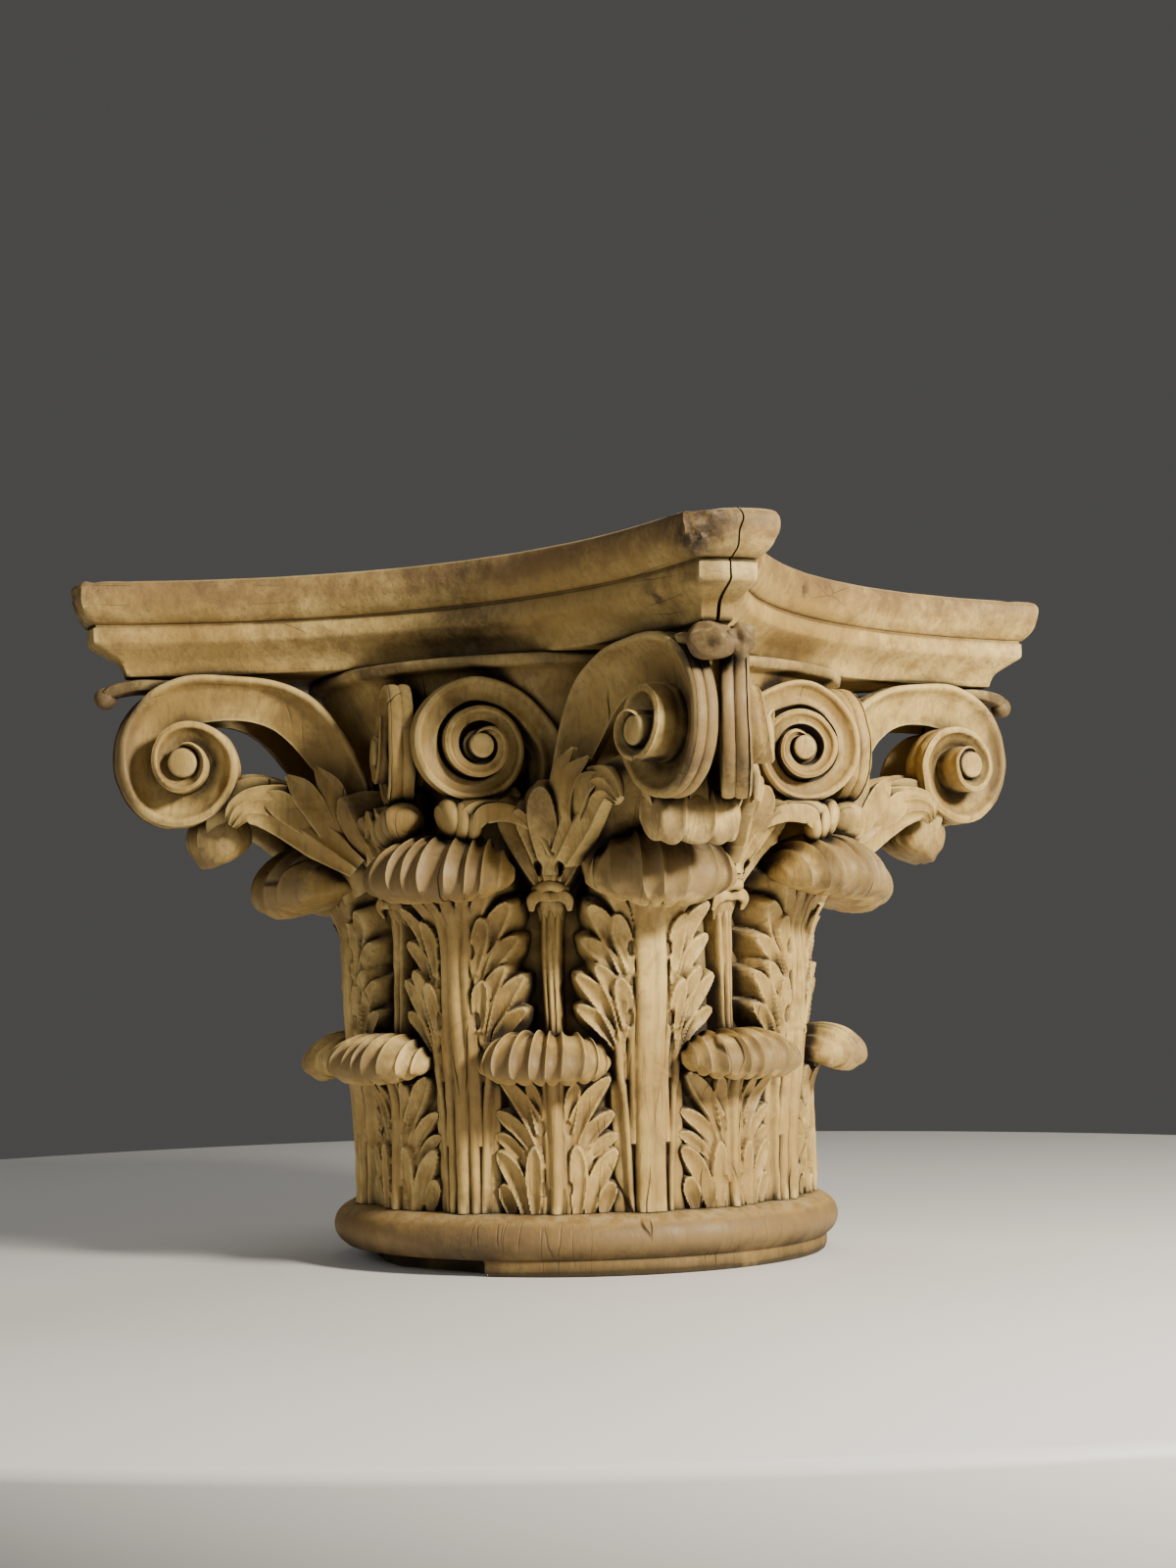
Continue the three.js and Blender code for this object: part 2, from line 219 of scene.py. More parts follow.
def ripple(points, wavelength, seed):
    """A soft random field of about -1 to 1, made of a few crossing waves."""
    waves = np.random.default_rng(seed)
    total = np.zeros(points.shape[:-1])
    for _ in range(6):
        direction = waves.normal(size=3)
        direction *= 2 * math.pi / (wavelength * waves.uniform(0.7, 1.4)) / np.linalg.norm(direction)
        total += np.sin(points @ direction + waves.uniform(0, 2 * math.pi))
    return total / 3


def hand_cut(points):
    """The unevenness of hand carving: a slow drift of the whole form and the soft facets of the tools."""
    radius = np.linalg.norm(points[:, :2], axis=1, keepdims=True)
    outward = points[:, :2] / np.maximum(radius, 1)
    moved = points.copy()
    slow = 0.7 * ripple(points, 70, 1) + 0.22 * ripple(points, 13, 2) + 0.1 * ripple(points, 5, 3)
    moved[:, :2] += outward * slow[:, None]
    drift = 0.8 * ripple(points, 80, 4)
    moved[:, 0] -= outward[:, 1] * drift
    moved[:, 1] += outward[:, 0] * drift
    height = points[:, 2]
    inside = smooth(BELL_FOOT, BELL_FOOT + 12, height) * (1 - smooth(BELL_TOP - 14, BELL_TOP - 4, height))
    moved[:, 2] += inside * 0.7 * ripple(points, 60, 5)
    moved[:, 2] = np.clip(moved[:, 2], BELL_FOOT, BELL_TOP)
    return moved


probe = spot(0, FACE_RADIUS, 100).reshape(1, 3)
print("the hand moves one point by", np.round(hand_cut(probe) - probe, 2), "mm")

# %% [markdown]
# ## The cut of a leaf
# The flat of an acanthus leaf is low relief: leaflets fan from a root, each one scooped with a gouge so that
# its lowest line runs nearer one edge, and the rims between them are left sharp. It could be sculpted with
# brushes, or displaced by a material, but neither can be written down as sizes. Here the leaf is a height
# field over the wall. Each leaflet gives its own height at every point, and the highest one wins, which is
# how overlapping leaflets meet in a crisp valley.

# %% Height field and bent spines
AWAY = -40.0
SPINE_STEPS = 22


def blank_field(half_width, low, high, pitch):
    """An empty height field, as wide and tall as the leaf."""
    columns = int(2 * half_width / pitch) + 1
    rows = int((high - low) / pitch) + 1
    across, height = np.meshgrid(np.linspace(-half_width, half_width, columns), np.linspace(low, high, rows))
    return across, height, np.full(across.shape, AWAY)


def along_spine(across, height, root, tip, bow):
    """How far along a bent spine (0 to 1) and how far off it each point of the field lies."""
    root, tip = np.array(root, float), np.array(tip, float)
    line = tip - root
    length = np.linalg.norm(line)
    normal = np.array([-line[1], line[0]]) / length
    share = np.linspace(0, 1, SPINE_STEPS)
    bend = 4 * share * (1 - share) * bow * length
    path = root + share[:, None] * line + bend[:, None] * normal
    slope = 4 * (1 - 2 * share) * bow * length
    tangent = line + slope[:, None] * normal
    tangent /= np.linalg.norm(tangent, axis=1, keepdims=True)
    offset_x = across[..., None] - path[:, 0]
    offset_y = height[..., None] - path[:, 1]
    nearest = np.argmin(offset_x ** 2 + offset_y ** 2, -1)
    dx = np.take_along_axis(offset_x, nearest[..., None], -1)[..., 0]
    dy = np.take_along_axis(offset_y, nearest[..., None], -1)[..., 0]
    tx, ty = tangent[nearest, 0], tangent[nearest, 1]
    run = share[nearest] + (dx * tx + dy * ty) / length
    off = -dx * ty + dy * tx
    return run, off, length


run, off, length = along_spine(np.array([1.0]), np.array([5.0]), (0, 0), (0, 10), 0)
print("a point beside a 10 mm spine lies", run[0], "of the way along it and", off[0], "mm off it")

# %% [markdown]
# ## One scooped leaflet
# Each leaflet is a sweep of the gouge: widest past its middle, rounded at the tip and lifted a little
# towards its end. The formulas are that sweep. Drawn as lofted curves, every line where two leaflets meet
# would have to be cut by hand.

# %% Leaflet
def leaflet(field, root, tip, half, bow=0.1, level=0.0, lift=1.8, gouge=2.5, lean=0.25):
    """Adds one scooped leaflet. lean moves the deepest line towards its outer edge."""
    across, height, surface = field
    side = 1 if tip[0] >= root[0] else -1
    run, off, length = along_spine(across, height, root, tip, bow * side)
    inside = np.clip(run, 0, 1)
    swell = 0.42 + 0.58 * np.sin(QUARTER * np.clip(inside / 0.6, 0, 1))
    point = np.sqrt(np.clip(1 - (np.clip(inside - 0.6, 0, 1) / 0.41) ** 2.2, 0.01, 1))
    width = half * swell * point
    share = off * -side / width
    deepest = np.where(share > lean, (share - lean) / (1 - lean), (lean - share) / (1 + lean))
    scoop = gouge * (0.25 + 0.75 * np.sin(math.pi * inside ** 0.8)) * (1 - np.clip(deepest, 0, 1) ** 1.7)
    top = level + lift * inside ** 2 - scoop - 0.5 * np.clip(np.abs(share), 0, 1) ** 8
    beyond = np.maximum(np.abs(off) - width, 0) + np.maximum(run - 1, 0) * length
    before = np.maximum(-run, 0) * length
    np.maximum(surface, top - beyond * 3.2 - before * 0.8, out=surface)


sample = blank_field(6, 0, 20, 1.0)
leaflet(sample, (0, 1), (0, 18), 4)
print("a sample leaflet rises from", round(AWAY), "to", round(float(sample[2].max()), 2), "mm")

# %% [markdown]
# ## Ribs and drilled eyes
# Ribs carry the stem up the middle of a leaf. The eyes are the drop-shaped holes that the drill leaves
# where two leaflets part. An eye lowers the field by a bell-shaped dip, so that it stays in the same mesh
# and needs no Boolean.

# %% Ribs and eyes
def rib(field, root, tip, half, bow=0.0, level=0.0, crown=1.0, taper=1.0):
    """Adds a rounded rib from root to tip. taper is its width at the tip as a share of the root's."""
    across, height, surface = field
    run, off, length = along_spine(across, height, root, tip, bow)
    inside = np.clip(run, 0, 1)
    width = half * (1 + (taper - 1) * inside)
    share = np.clip(np.abs(off) / width, 0, 1)
    ends = np.maximum(run - 1, 0) * length + np.maximum(-run, 0) * length
    top = level + crown * (1 - share ** 2.5) - crown
    beyond = np.maximum(np.abs(off) - width, 0) + ends
    np.maximum(surface, top - beyond * 3.2, out=surface)


def eye(field, centre, half, length, depth=6.0):
    """Drills a drop-shaped eye."""
    across, height, surface = field
    reach = ((across - centre[0]) / half) ** 2 + ((height - centre[1]) / length) ** 2
    surface -= depth * np.exp(-reach ** 2)


eye(sample, (0, 10), 1.3, 2.6)
print("a drilled eye is at", round(float(sample[2][10, 6]), 2), "mm")

# %% [markdown]
# ## From field to body
# A height field is only a front. To be a closed body it needs sides and a back, which are sunk inside the
# bell where no one sees them.

# %% Close the relief
def relief_body(azimuth, field, face):
    """Turns a height field into a closed body whose back is buried in the bell."""
    across, height, surface = field
    radius = np.maximum(face(height) + surface - 0.004 * across ** 2, WALL_RADIUS - 4)
    front = wall_spot(azimuth, radius, height, across)
    ends = np.stack([across[:, -1], across[:, 0]], -1)
    back = wall_spot(azimuth, WALL_RADIUS - 8, height[:, :2], ends)
    return skin(np.concatenate([front, back], 1))


sample_body = relief_body(0, sample, lambda z: FACE_RADIUS)
print("closed, the sample has", len(sample_body[0]), "points")

# %% [markdown]
# ## Curled leaf tips
# The tip of each leaf rolls out and down like a scallop shell. Its lobes are meridians that meet at the
# leaf's neck, with thin ridges between hollow lobes. A swept shell would need a tangle of patches at the
# ends, so the curl is a flattened ball cut across from side to side, with the ridges pushed out of it.

# %% Curled tip
def curl(put, centre, reach, rise, half_width, lobes, seed, ridge=2.4, droop=3.0, fan=0.5, pinch=0.0,
         blunt=4):
    """A ribbed curl. centre is (radius, height), reach and rise its half sizes in the upright plane."""
    vary = np.random.default_rng(seed)
    across = np.linspace(-1, 1, 13 * lobes)
    across = (across + 0.12 * np.sin(math.pi * across))[:, None]
    turn = np.linspace(0, 2 * math.pi, 56, endpoint=False)[None, :]
    size = (1 - np.abs(0.99 * across) ** blunt) ** 0.45
    even = 0.3 * (across + 1) / 2 + 0.7 * (np.arcsin(np.clip(across, -1, 1)) / math.pi + 0.5)
    even = even + vary.uniform(0.01, 0.018) * np.sin(even * math.pi * 6 + vary.uniform(0, 6))
    phase = np.clip(lobes * even, 0, lobes - 0.001)
    lobe = np.floor(phase).astype(int)
    share = 2 * (phase - lobe) - 1
    lean = vary.uniform(-0.35, 0.35, lobes)[lobe]
    deepest = np.where(share > lean, (share - lean) / (1 - lean), (lean - share) / (1 + lean))
    crest = np.clip(deepest, 0, 1) ** 2.4
    heave = vary.uniform(-0.7, 0.7, lobes)[lobe]
    shown = smooth(-0.95, -0.35, np.sin(turn)) + 0.12
    push = (ridge * (crest - 0.4) + heave * (1 - crest)) * shown * smooth(0.12, 0.6, size)
    under = np.where(np.sin(turn) < 0, 0.5 - 0.5 * np.cos(turn), 0)
    radius = centre[0] - 5 * across ** 2 + (reach * size + push) * np.cos(turn)
    height = centre[1] + (rise * size + push) * np.sin(turn) * (1 - 0.5 * under)
    height = height - droop * size * np.clip(np.cos(turn), 0, 1) ** 2 - 0.8 * droop * across ** 4
    lip = np.exp(-((turn - 1.72 * math.pi) / 0.45) ** 2)
    height = height - 3.0 * lip * (1 - crest) * size
    sideways = half_width * across * (1 - fan * (0.5 - 0.5 * np.cos(turn - 0.3)) * size)
    sideways = sideways * (1 - pinch * smooth(0.1, 1, -np.sin(turn)) * size)
    return skin(put(radius, height, sideways))


trial_curl = curl(lambda r, z, s: wall_spot(0, r, z, s), (123, 101), 21.5, 11.5, 30, 11, 1)
print("a trial curl has", len(trial_curl[0]), "points")

# %% [markdown]
# ## Lower leaves
# Eight short leaves stand on the ring and hide the feet of what is behind them. Each side of a leaf has
# two fans of leaflets with drilled eyes. One function draws a leaf, and a seed of its own shifts each
# leaflet by about half a millimetre, so that the eight differ as hand work does.

# %% Lower leaves
LOWER_HALF = 31
LOWER_TRIANGLES = 150000


def lower_leaf(azimuth, seed, shift):
    """One leaf of the lower tier: a midrib, two fans of leaflets on each side and a ribbed curl."""
    vary = np.random.default_rng(seed)
    field = blank_field(LOWER_HALF, BELL_FOOT, 102, 0.62)

    def near(point, amount=0.6):
        return point[0] + vary.uniform(-amount, amount), point[1] + vary.uniform(-amount, amount)

    for side in (-1, 1):
        def at(across, height):
            return near((side * across, height))
        rib(field, (side * 9, 34), (side * 13, 92), 9, level=-5.5, crown=1)
        rib(field, (side * 3.6, 40), (side * 4.2, 96), 1.9, level=-1.0, crown=1.2)
        leaflet(field, at(9, 54), at(29.3, 75), 3.6, level=-1.4)
        leaflet(field, at(14, 51), at(30, 64), 3.2, level=-2.0)
        leaflet(field, at(5, 50), at(26.5, 92), 4.3, level=-0.4, gouge=3.0)
        leaflet(field, at(7.4, 66), at(11, 90), 3.3, level=-0.2, bow=0.05)
        leaflet(field, at(22.5, 27), at(27.5, 42.5), 4.4, level=-1.6)
        leaflet(field, at(14.5, 26), at(29, 57.5), 4.6, level=-0.8, gouge=3.0)
        leaflet(field, at(9.8, 26), at(9.6, 59), 4.0, level=-0.2, bow=-0.02)
        rib(field, (side * 6, 26), (side * 5.6, 36.5), 1.8, level=-1.4, crown=1)
        eye(field, (side * 6.0, 67.5), 1.3, 2.9)
        eye(field, (side * 5.8, 40), 1.3, 2.6)
    rib(field, (0, 24), (0, 100), 2.5, level=1.0, crown=1.6)
    rib(field, (0, 20), (0, 58), 30.5, level=-3.8, crown=1.5)
    rib(field, (0, 60), (0, 84), 26, level=-4.2, crown=1.5)
    rib(field, (0, 20), (0, 90), 17, level=-2.2, crown=1.0)
    body = relief_body(azimuth, field, lambda z: FACE_RADIUS + 5 * smooth(78, 100, z))
    tip = curl(lambda r, z, s: wall_spot(azimuth, r, z, s + shift), (123, 101), 21.5, 11.5, 30, 11, seed)
    return [body, tip]


print("a lower leaf has", sum(len(body[0]) for body in lower_leaf(0, 20, 0)), "points at first")

# %% [markdown]
# ## Eight lower leaves
# Each leaf takes its place by angle, half way between the upper leaves. Copies of one mesh would be
# quicker, but then every leaf would show the same cuts. Each curl is shifted sideways by at most
# three millimetres.

# %% Carve the lower leaves
lower_bodies = []
for k in range(8):
    lower_bodies += lower_leaf(k * EIGHTH + STALK_OFFSET, 20 + k, (-3, -2, 1, 2, -1, 0, 2, 1)[k])
lower_leaves = thin_out(make_piece("lower_leaves", lower_bodies, hand_cut), LOWER_TRIANGLES)

# %% [markdown]
# ## Upper leaves
# Eight tall leaves rise between the lower ones: four under the faces with a narrow midrib, and four under
# the corners with a broad flat stem and a bigger curl. They are one function with a switch, because only
# the stem and the curl change.

# %% Upper leaves
UPPER_HALF = 37
UPPER_TRIANGLES = 180000


def upper_leaf(azimuth, on_corner, seed, shift):
    """One leaf of the upper tier: a long ribbed stem, two fans of leaflets on each side and a large curl."""
    vary = np.random.default_rng(seed)
    field = blank_field(UPPER_HALF, BELL_FOOT, 192, 0.7)

    def near(point, amount=0.7):
        return point[0] + vary.uniform(-amount, amount), point[1] + vary.uniform(-amount, amount)

    for side in (-1, 1):
        def at(across, height):
            return near((side * across, height))
        rib(field, (side * 9, 28), (side * 13, 150), 4, level=-6.5, crown=1)
        rib(field, (side * 16, 104), (side * 22, 126), 6, level=-6.5, crown=1)
        rib(field, (side * 14, 136), (side * 20, 160), 6, level=-6.5, crown=1)
        rib(field, (side * 9.6, 24), (side * 12.6, 88), 1.9, level=-1.6, crown=1.4)
        rib(field, (side * 12.4, 84), (side * 14.5, 108), 1.9, -0.03 * side, level=-1.4, crown=1.4, taper=1.3)
        rib(field, (side * 8.4, 60), (side * 10.5, 134), 1.7, 0.02 * side, level=-1.0, crown=1.2, taper=1.2)
        leaflet(field, at(16.5, 104), at(33, 123.5), 3.8, level=-1.8)
        leaflet(field, at(14, 103), at(33.3, 139), 4.2, level=-1.0, gouge=3.0)
        leaflet(field, at(13, 108), at(25, 143.5), 4.0, level=-0.5)
        leaflet(field, at(11.6, 114), at(15.2, 137), 3.9, level=0.0, bow=0.04)
        leaflet(field, at(12.5, 134), at(31, 157), 4.0, level=-1.6)
        leaflet(field, at(11.5, 135), at(28.5, 172.5), 4.5, level=-0.8, gouge=3.0)
        leaflet(field, at(10.5, 141), at(16.5, 167), 4.0, level=0.0, bow=0.04)
        leaflet(field, at(8, 150), at(24, 184), 3.0, level=-1.0, gouge=1.2)
        leaflet(field, at(5, 150), at(13, 184), 2.8, level=-0.4, gouge=1.0)
        eye(field, (side * 9.9, 118.5), 1.3, 3.6)
        eye(field, (side * 8.6, 152), 1.3, 3.2)
    rib(field, (0, 20), (0, 90), 18.5, level=-3.8, crown=1.2)
    rib(field, (0, 90), (0, 180), 15, level=-2.6, crown=1.2)
    if on_corner:
        rib(field, (0, 24), (0, 188), 7.0, level=0.6, crown=0.9)
        rib(field, (-3.4, 24), (-3.2, 188), 3.2, level=1.0, crown=0.7)
        rib(field, (3.4, 24), (3.4, 188), 3.2, level=0.9, crown=0.7)
    else:
        rib(field, (0, 24), (0, 188), 3.1, level=1.4, crown=1.8)
        for side in (-1, 1):
            rib(field, (side * 6.2, 24), (side * 5.4, 150), 2.3, level=0.0, crown=1.4)
            rib(field, (side * 5.4, 148), (side * 9.5, 186), 2.3, level=0.0, crown=1.2)

    def face(height):
        return FACE_RADIUS + 7 * smooth(28, 165, height) + 12 * smooth(158, 190, height)

    body = relief_body(azimuth, field, face)
    reach, lobes = (30.5, 9) if on_corner else (28, 11)
    rise, middle, pinch, blunt = (18.5, 187.5, 0.35, 3) if on_corner else (15.5, 189.5, 0.1, 4)
    tip = curl(lambda r, z, s: wall_spot(azimuth, r, z, s + shift), (138, middle), reach, rise, 30.5, lobes,
               seed, ridge=3.1, droop=4.5, pinch=pinch, blunt=blunt)
    return [body, tip]


print("an upper leaf has", sum(len(body[0]) for body in upper_leaf(0, False, 40, 0)), "points at first")

# %% [markdown]
# ## Eight upper leaves
# The same is done for the tall leaves, where every second one is under a corner.

# %% Carve the upper leaves
upper_bodies = []
for k in range(8):
    upper_bodies += upper_leaf(k * EIGHTH, k % 2 == 1, 40 + k, (4, 0, -2, 1, -1, 2, 0, -2)[k])
upper_leaves = thin_out(make_piece("upper_leaves", upper_bodies, hand_cut), UPPER_TRIANGLES)

# %% [markdown]
# ## Straps
# Leaves that stand free of the wall overhang, so they cannot be height fields. They are straps: a hollowed
# section carried along a smooth path. A curve with a bevel would carry a section too, but its width and its
# thickness could only change together.

# %% Straps and knobs
def bend(points, steps):
    """A smooth path through a few points, by Catmull-Rom."""
    points = np.array(points, float)
    padded = np.vstack([2 * points[0] - points[1], points, 2 * points[-1] - points[-2]])
    share = np.linspace(0, len(points) - 1, steps)
    index = np.clip(share.astype(int), 0, len(points) - 2)
    t = (share - index)[:, None]
    a, b, c, d = (padded[index + i] for i in range(4))
    squares = (2 * a - 5 * b + 4 * c - d) * t ** 2
    cubes = (3 * b - 3 * c + d - a) * t ** 3
    return 0.5 * (2 * b + (c - a) * t + squares + cubes)


def strap(path, half, depth, facing, gouge=0.0, lobes=1, lean=0.0, ridge=0.0, steps=34, columns=26):
    """A leaf or strap along a path in space, with its hollowed face towards facing."""
    path = bend(path, steps)
    half = bend(np.array(half, float)[:, None], steps)[:, 0].clip(0.3)
    depth = bend(np.array(depth, float)[:, None], steps)[:, 0].clip(0.3)
    tangent = np.gradient(path, axis=0)
    tangent /= np.linalg.norm(tangent, axis=1, keepdims=True)
    facing = np.broadcast_to(np.array(facing, float), path.shape)
    face = facing - (facing * tangent).sum(1, keepdims=True) * tangent
    face /= np.linalg.norm(face, axis=1, keepdims=True)
    side = np.cross(tangent, face)
    v = np.linspace(-1, 1, columns)
    phase = (v + 1) / 2 * lobes
    q = 2 * (phase - np.minimum(np.floor(phase), lobes - 1)) - 1
    deepest = np.where(q > lean, (q - lean) / (1 - lean), (lean - q) / (1 + lean))
    shape = -gouge * (1 - np.clip(deepest, 0, 1) ** 1.7) - 0.4 * np.abs(v) ** 8
    if lobes > 1:
        shape = shape + ridge * np.abs(q) ** 3 * (np.abs(v) < 0.98)
    top = depth[:, None] * 0.5 * (1 - 0.35 * v ** 2) + shape
    bottom = -depth[:, None] * 0.5 * np.sqrt(np.clip(1 - v[::-1] ** 2, 0, 1)) ** 0.7
    out = np.concatenate([top, bottom[:, 1:-1]], 1)
    across = np.concatenate([v, v[::-1][1:-1]])
    rings = path[:, None, :] + side[:, None, :] * (half[:, None] * across)[..., None]
    rings = rings + face[:, None, :] * out[..., None]
    return skin(rings)


def knob(centre, sizes, seed=0, lumps=0.0, steps=18):
    """A rounded knob, lumpy where it is broken or worn."""
    tall = np.linspace(-QUARTER + 0.05, QUARTER - 0.05, steps)[:, None]
    turn = np.linspace(0, 2 * math.pi, steps * 2, endpoint=False)[None, :]
    flat = np.cos(tall)
    unit = np.stack(np.broadcast_arrays(flat * np.cos(turn), flat * np.sin(turn), np.sin(tall)), -1)
    if lumps:
        unit = unit * (1 + lumps * ripple(unit, 1.1, seed)[..., None])
    return skin(np.array(centre) + unit * np.array(sizes))


print("a knob has", len(knob((0, 0, 0), (5, 5, 5))[0]), "points")

# %% [markdown]
# ## Bell wall
# Behind the leaves stands the bell itself: a plain drum that flares into a rim under the abacus. It could
# be a Spin of a profile. Rings of points do the same, and go through the same skin as everything else.

# %% Bell wall
def bell_wall():
    """The drum behind the leaves, with its flare and rim."""
    flare_top = BELL_TOP - 9
    rise = np.linspace(BELL_FOOT, flare_top + 2, 40)
    share = np.clip((rise - 200) / (flare_top - 200), 0, 1)
    radius = WALL_RADIUS + 26 * share ** 1.9
    lip = np.array([[132.2, flare_top + 2.6], [135.8, flare_top + 3.4], [136.8, flare_top + 4.4],
                    [137.4, BELL_TOP - 2], [137.0, BELL_TOP - 0.6], [135.5, BELL_TOP]])
    radius = np.concatenate([radius, lip[:, 0]])
    rise = np.concatenate([rise, lip[:, 1]])
    turn = np.linspace(0, 2 * math.pi, 240, endpoint=False)
    rings = np.stack([radius[:, None] * np.sin(turn), -radius[:, None] * np.cos(turn),
                      np.repeat(rise[:, None], 240, 1)], -1)
    return skin(rings)


print("the bell wall has", len(bell_wall()[0]), "points")

# %% [markdown]
# ## Stalks and calyces
# Between the upper leaves eight fluted stalks climb the bell. Each ends in a collar with two turned-down
# ends, and out of it opens a calyx of pointed leaves with two drilled eyes at its foot. Flutes and calyx
# are low enough to be relief. The collar is a stack of fluted rings, and its ends are straps.

# %% Stalk, collar and calyx
def stalk(azimuth):
    """A fluted stalk, a collar whose ends curl down, and a calyx of pointed leaves with two eyes."""
    bodies = []
    outward = spot(azimuth, 1.0, 0.0)
    field = blank_field(7, 96, 172, 0.6)
    rib(field, (0, 170), (0, 94), 5.4, level=-4.0, crown=1.0, taper=0.55)
    for across in (-3.4, 0, 3.4):
        level = -0.6 if across else 0.6
        rib(field, (across, 170), (across * 0.55, 94), 1.75, level=level, crown=1.4, taper=0.6)
    bodies.append(relief_body(azimuth, field, lambda z: FACE_RADIUS - 2.5))

    def at(radius, height, sideways):
        return wall_spot(azimuth, radius, height, sideways)

    rows = bend([(5.6, 112, 165), (6.4, 113, 168.5), (7.8, 114.5, 173), (8.6, 115.5, 177),
                 (7.0, 113.5, 179)], 20)
    turn = np.linspace(0, 2 * math.pi, 60, endpoint=False)
    flutes = 1 + 0.09 * np.abs(np.cos(turn * 4.5))
    collar = at(108 + (rows[:, 1:2] - 108) * (0.5 + 0.75 * np.sin(turn) * flutes), rows[:, 2:3],
                rows[:, :1] * np.cos(turn) * flutes)
    bodies.append(skin(collar))
    for side in (-1, 1):
        hook = [at(116.5, 176.5, 0), at(118.5, 176.8, side * 5), at(117.5, 174.5, side * 8.6),
                at(115, 170, side * 9.4)]
        bodies.append(strap(hook, (2.6, 2.8, 2.6, 1.2), (5, 5.5, 5, 3), outward, gouge=0.5))
    field = blank_field(19, 178, 231, 0.5)
    rib(field, (0, 180), (0, 206), 7.5, level=-3.0, crown=1.5, taper=1.3)
    for side in (-1, 1):
        leaflet(field, (side * 4.5, 181), (side * 16.5, 221), 4.4, bow=-0.05, level=-1.5, lift=2.5, gouge=2.2)
        leaflet(field, (side * 3.2, 184), (side * 9.5, 217), 4.0, bow=0.04, level=0.5, lift=3.0, gouge=2.6)
    leaflet(field, (0, 184), (0, 227), 5.6, bow=0.0, level=2.0, lift=4.0, gouge=3.0, lean=0.1)
    for side in (-1, 1):
        eye(field, (side * 4.6, 190), 1.5, 3.0, 6)
    bodies.append(relief_body(azimuth, field, lambda z: FACE_RADIUS + 4 + 19 * smooth(180, 222, z)))
    bodies.append(strap([at(115, 179.5, -7.0), at(120.6, 181.5, 0), at(115, 179.5, 7.0)],
                        (2.4, 2.6, 2.4), (6, 7, 6), outward))
    return bodies


print("a stalk with its calyx is made of", len(stalk(STALK_OFFSET)), "bodies")

# %% [markdown]
# ## Wall and stalks in place
# The wall and the eight stalks become one object, since the stalks are cut out of the wall.

# %% Carve the bell wall and the stalks
WALL_TRIANGLES = 110000
wall_bodies = [bell_wall()]
for k in range(8):
    wall_bodies += stalk(k * EIGHTH + STALK_OFFSET)
bell_and_stalks = thin_out(make_piece("bell_and_stalks", wall_bodies, hand_cut), WALL_TRIANGLES)

# %% [markdown]
# ## Scrolls
# From each calyx two ribbons spring: one rolls up under the abacus corner as a volute, the other meets its
# twin at the middle of a face as a helix. A scroll lies in an upright plane, so it is drawn there as a stem
# and a spiral whose radius shrinks by the same share in each quarter turn, and a moulded section is carried
# along it: a raised rim, a hollow channel, and a grooved outer edge.

# %% Scroll planes
CALYX_RADIUS = 125


def scroll_plane(azimuth, side, reach, face_half, setback, eye_height):
    """Places x along the plane from the eye, y up, and w out of the scroll's face."""
    start = np.array([math.cos(STALK_OFFSET), math.sin(STALK_OFFSET)]) * CALYX_RADIUS
    end = np.array([reach, face_half])
    along = (end - start) / np.linalg.norm(end - start)
    middle = end - along * setback

    def place(x, y, w):
        x, y, w = np.broadcast_arrays(x, y, w)
        radius = middle[0] + along[0] * x - along[1] * w
        sideways = middle[1] + along[1] * x + along[0] * w
        return spot(azimuth, radius, eye_height + y, side * sideways)

    return place


print("the eye of a volute is at", np.round(scroll_plane(EIGHTH, 1, 236, 13, 33, 246.2)(0, 0, 0), 1))

# %% [markdown]
# ## The ribbon of a scroll
# A volute is one band that narrows as it winds in to its eye. Its radius shrinks by the same share in each
# quarter turn, which makes a logarithmic spiral. A few points bring the stem up to it, and one smooth
# curve runs through both. The inner end sinks under the eye, so that no cut end shows.

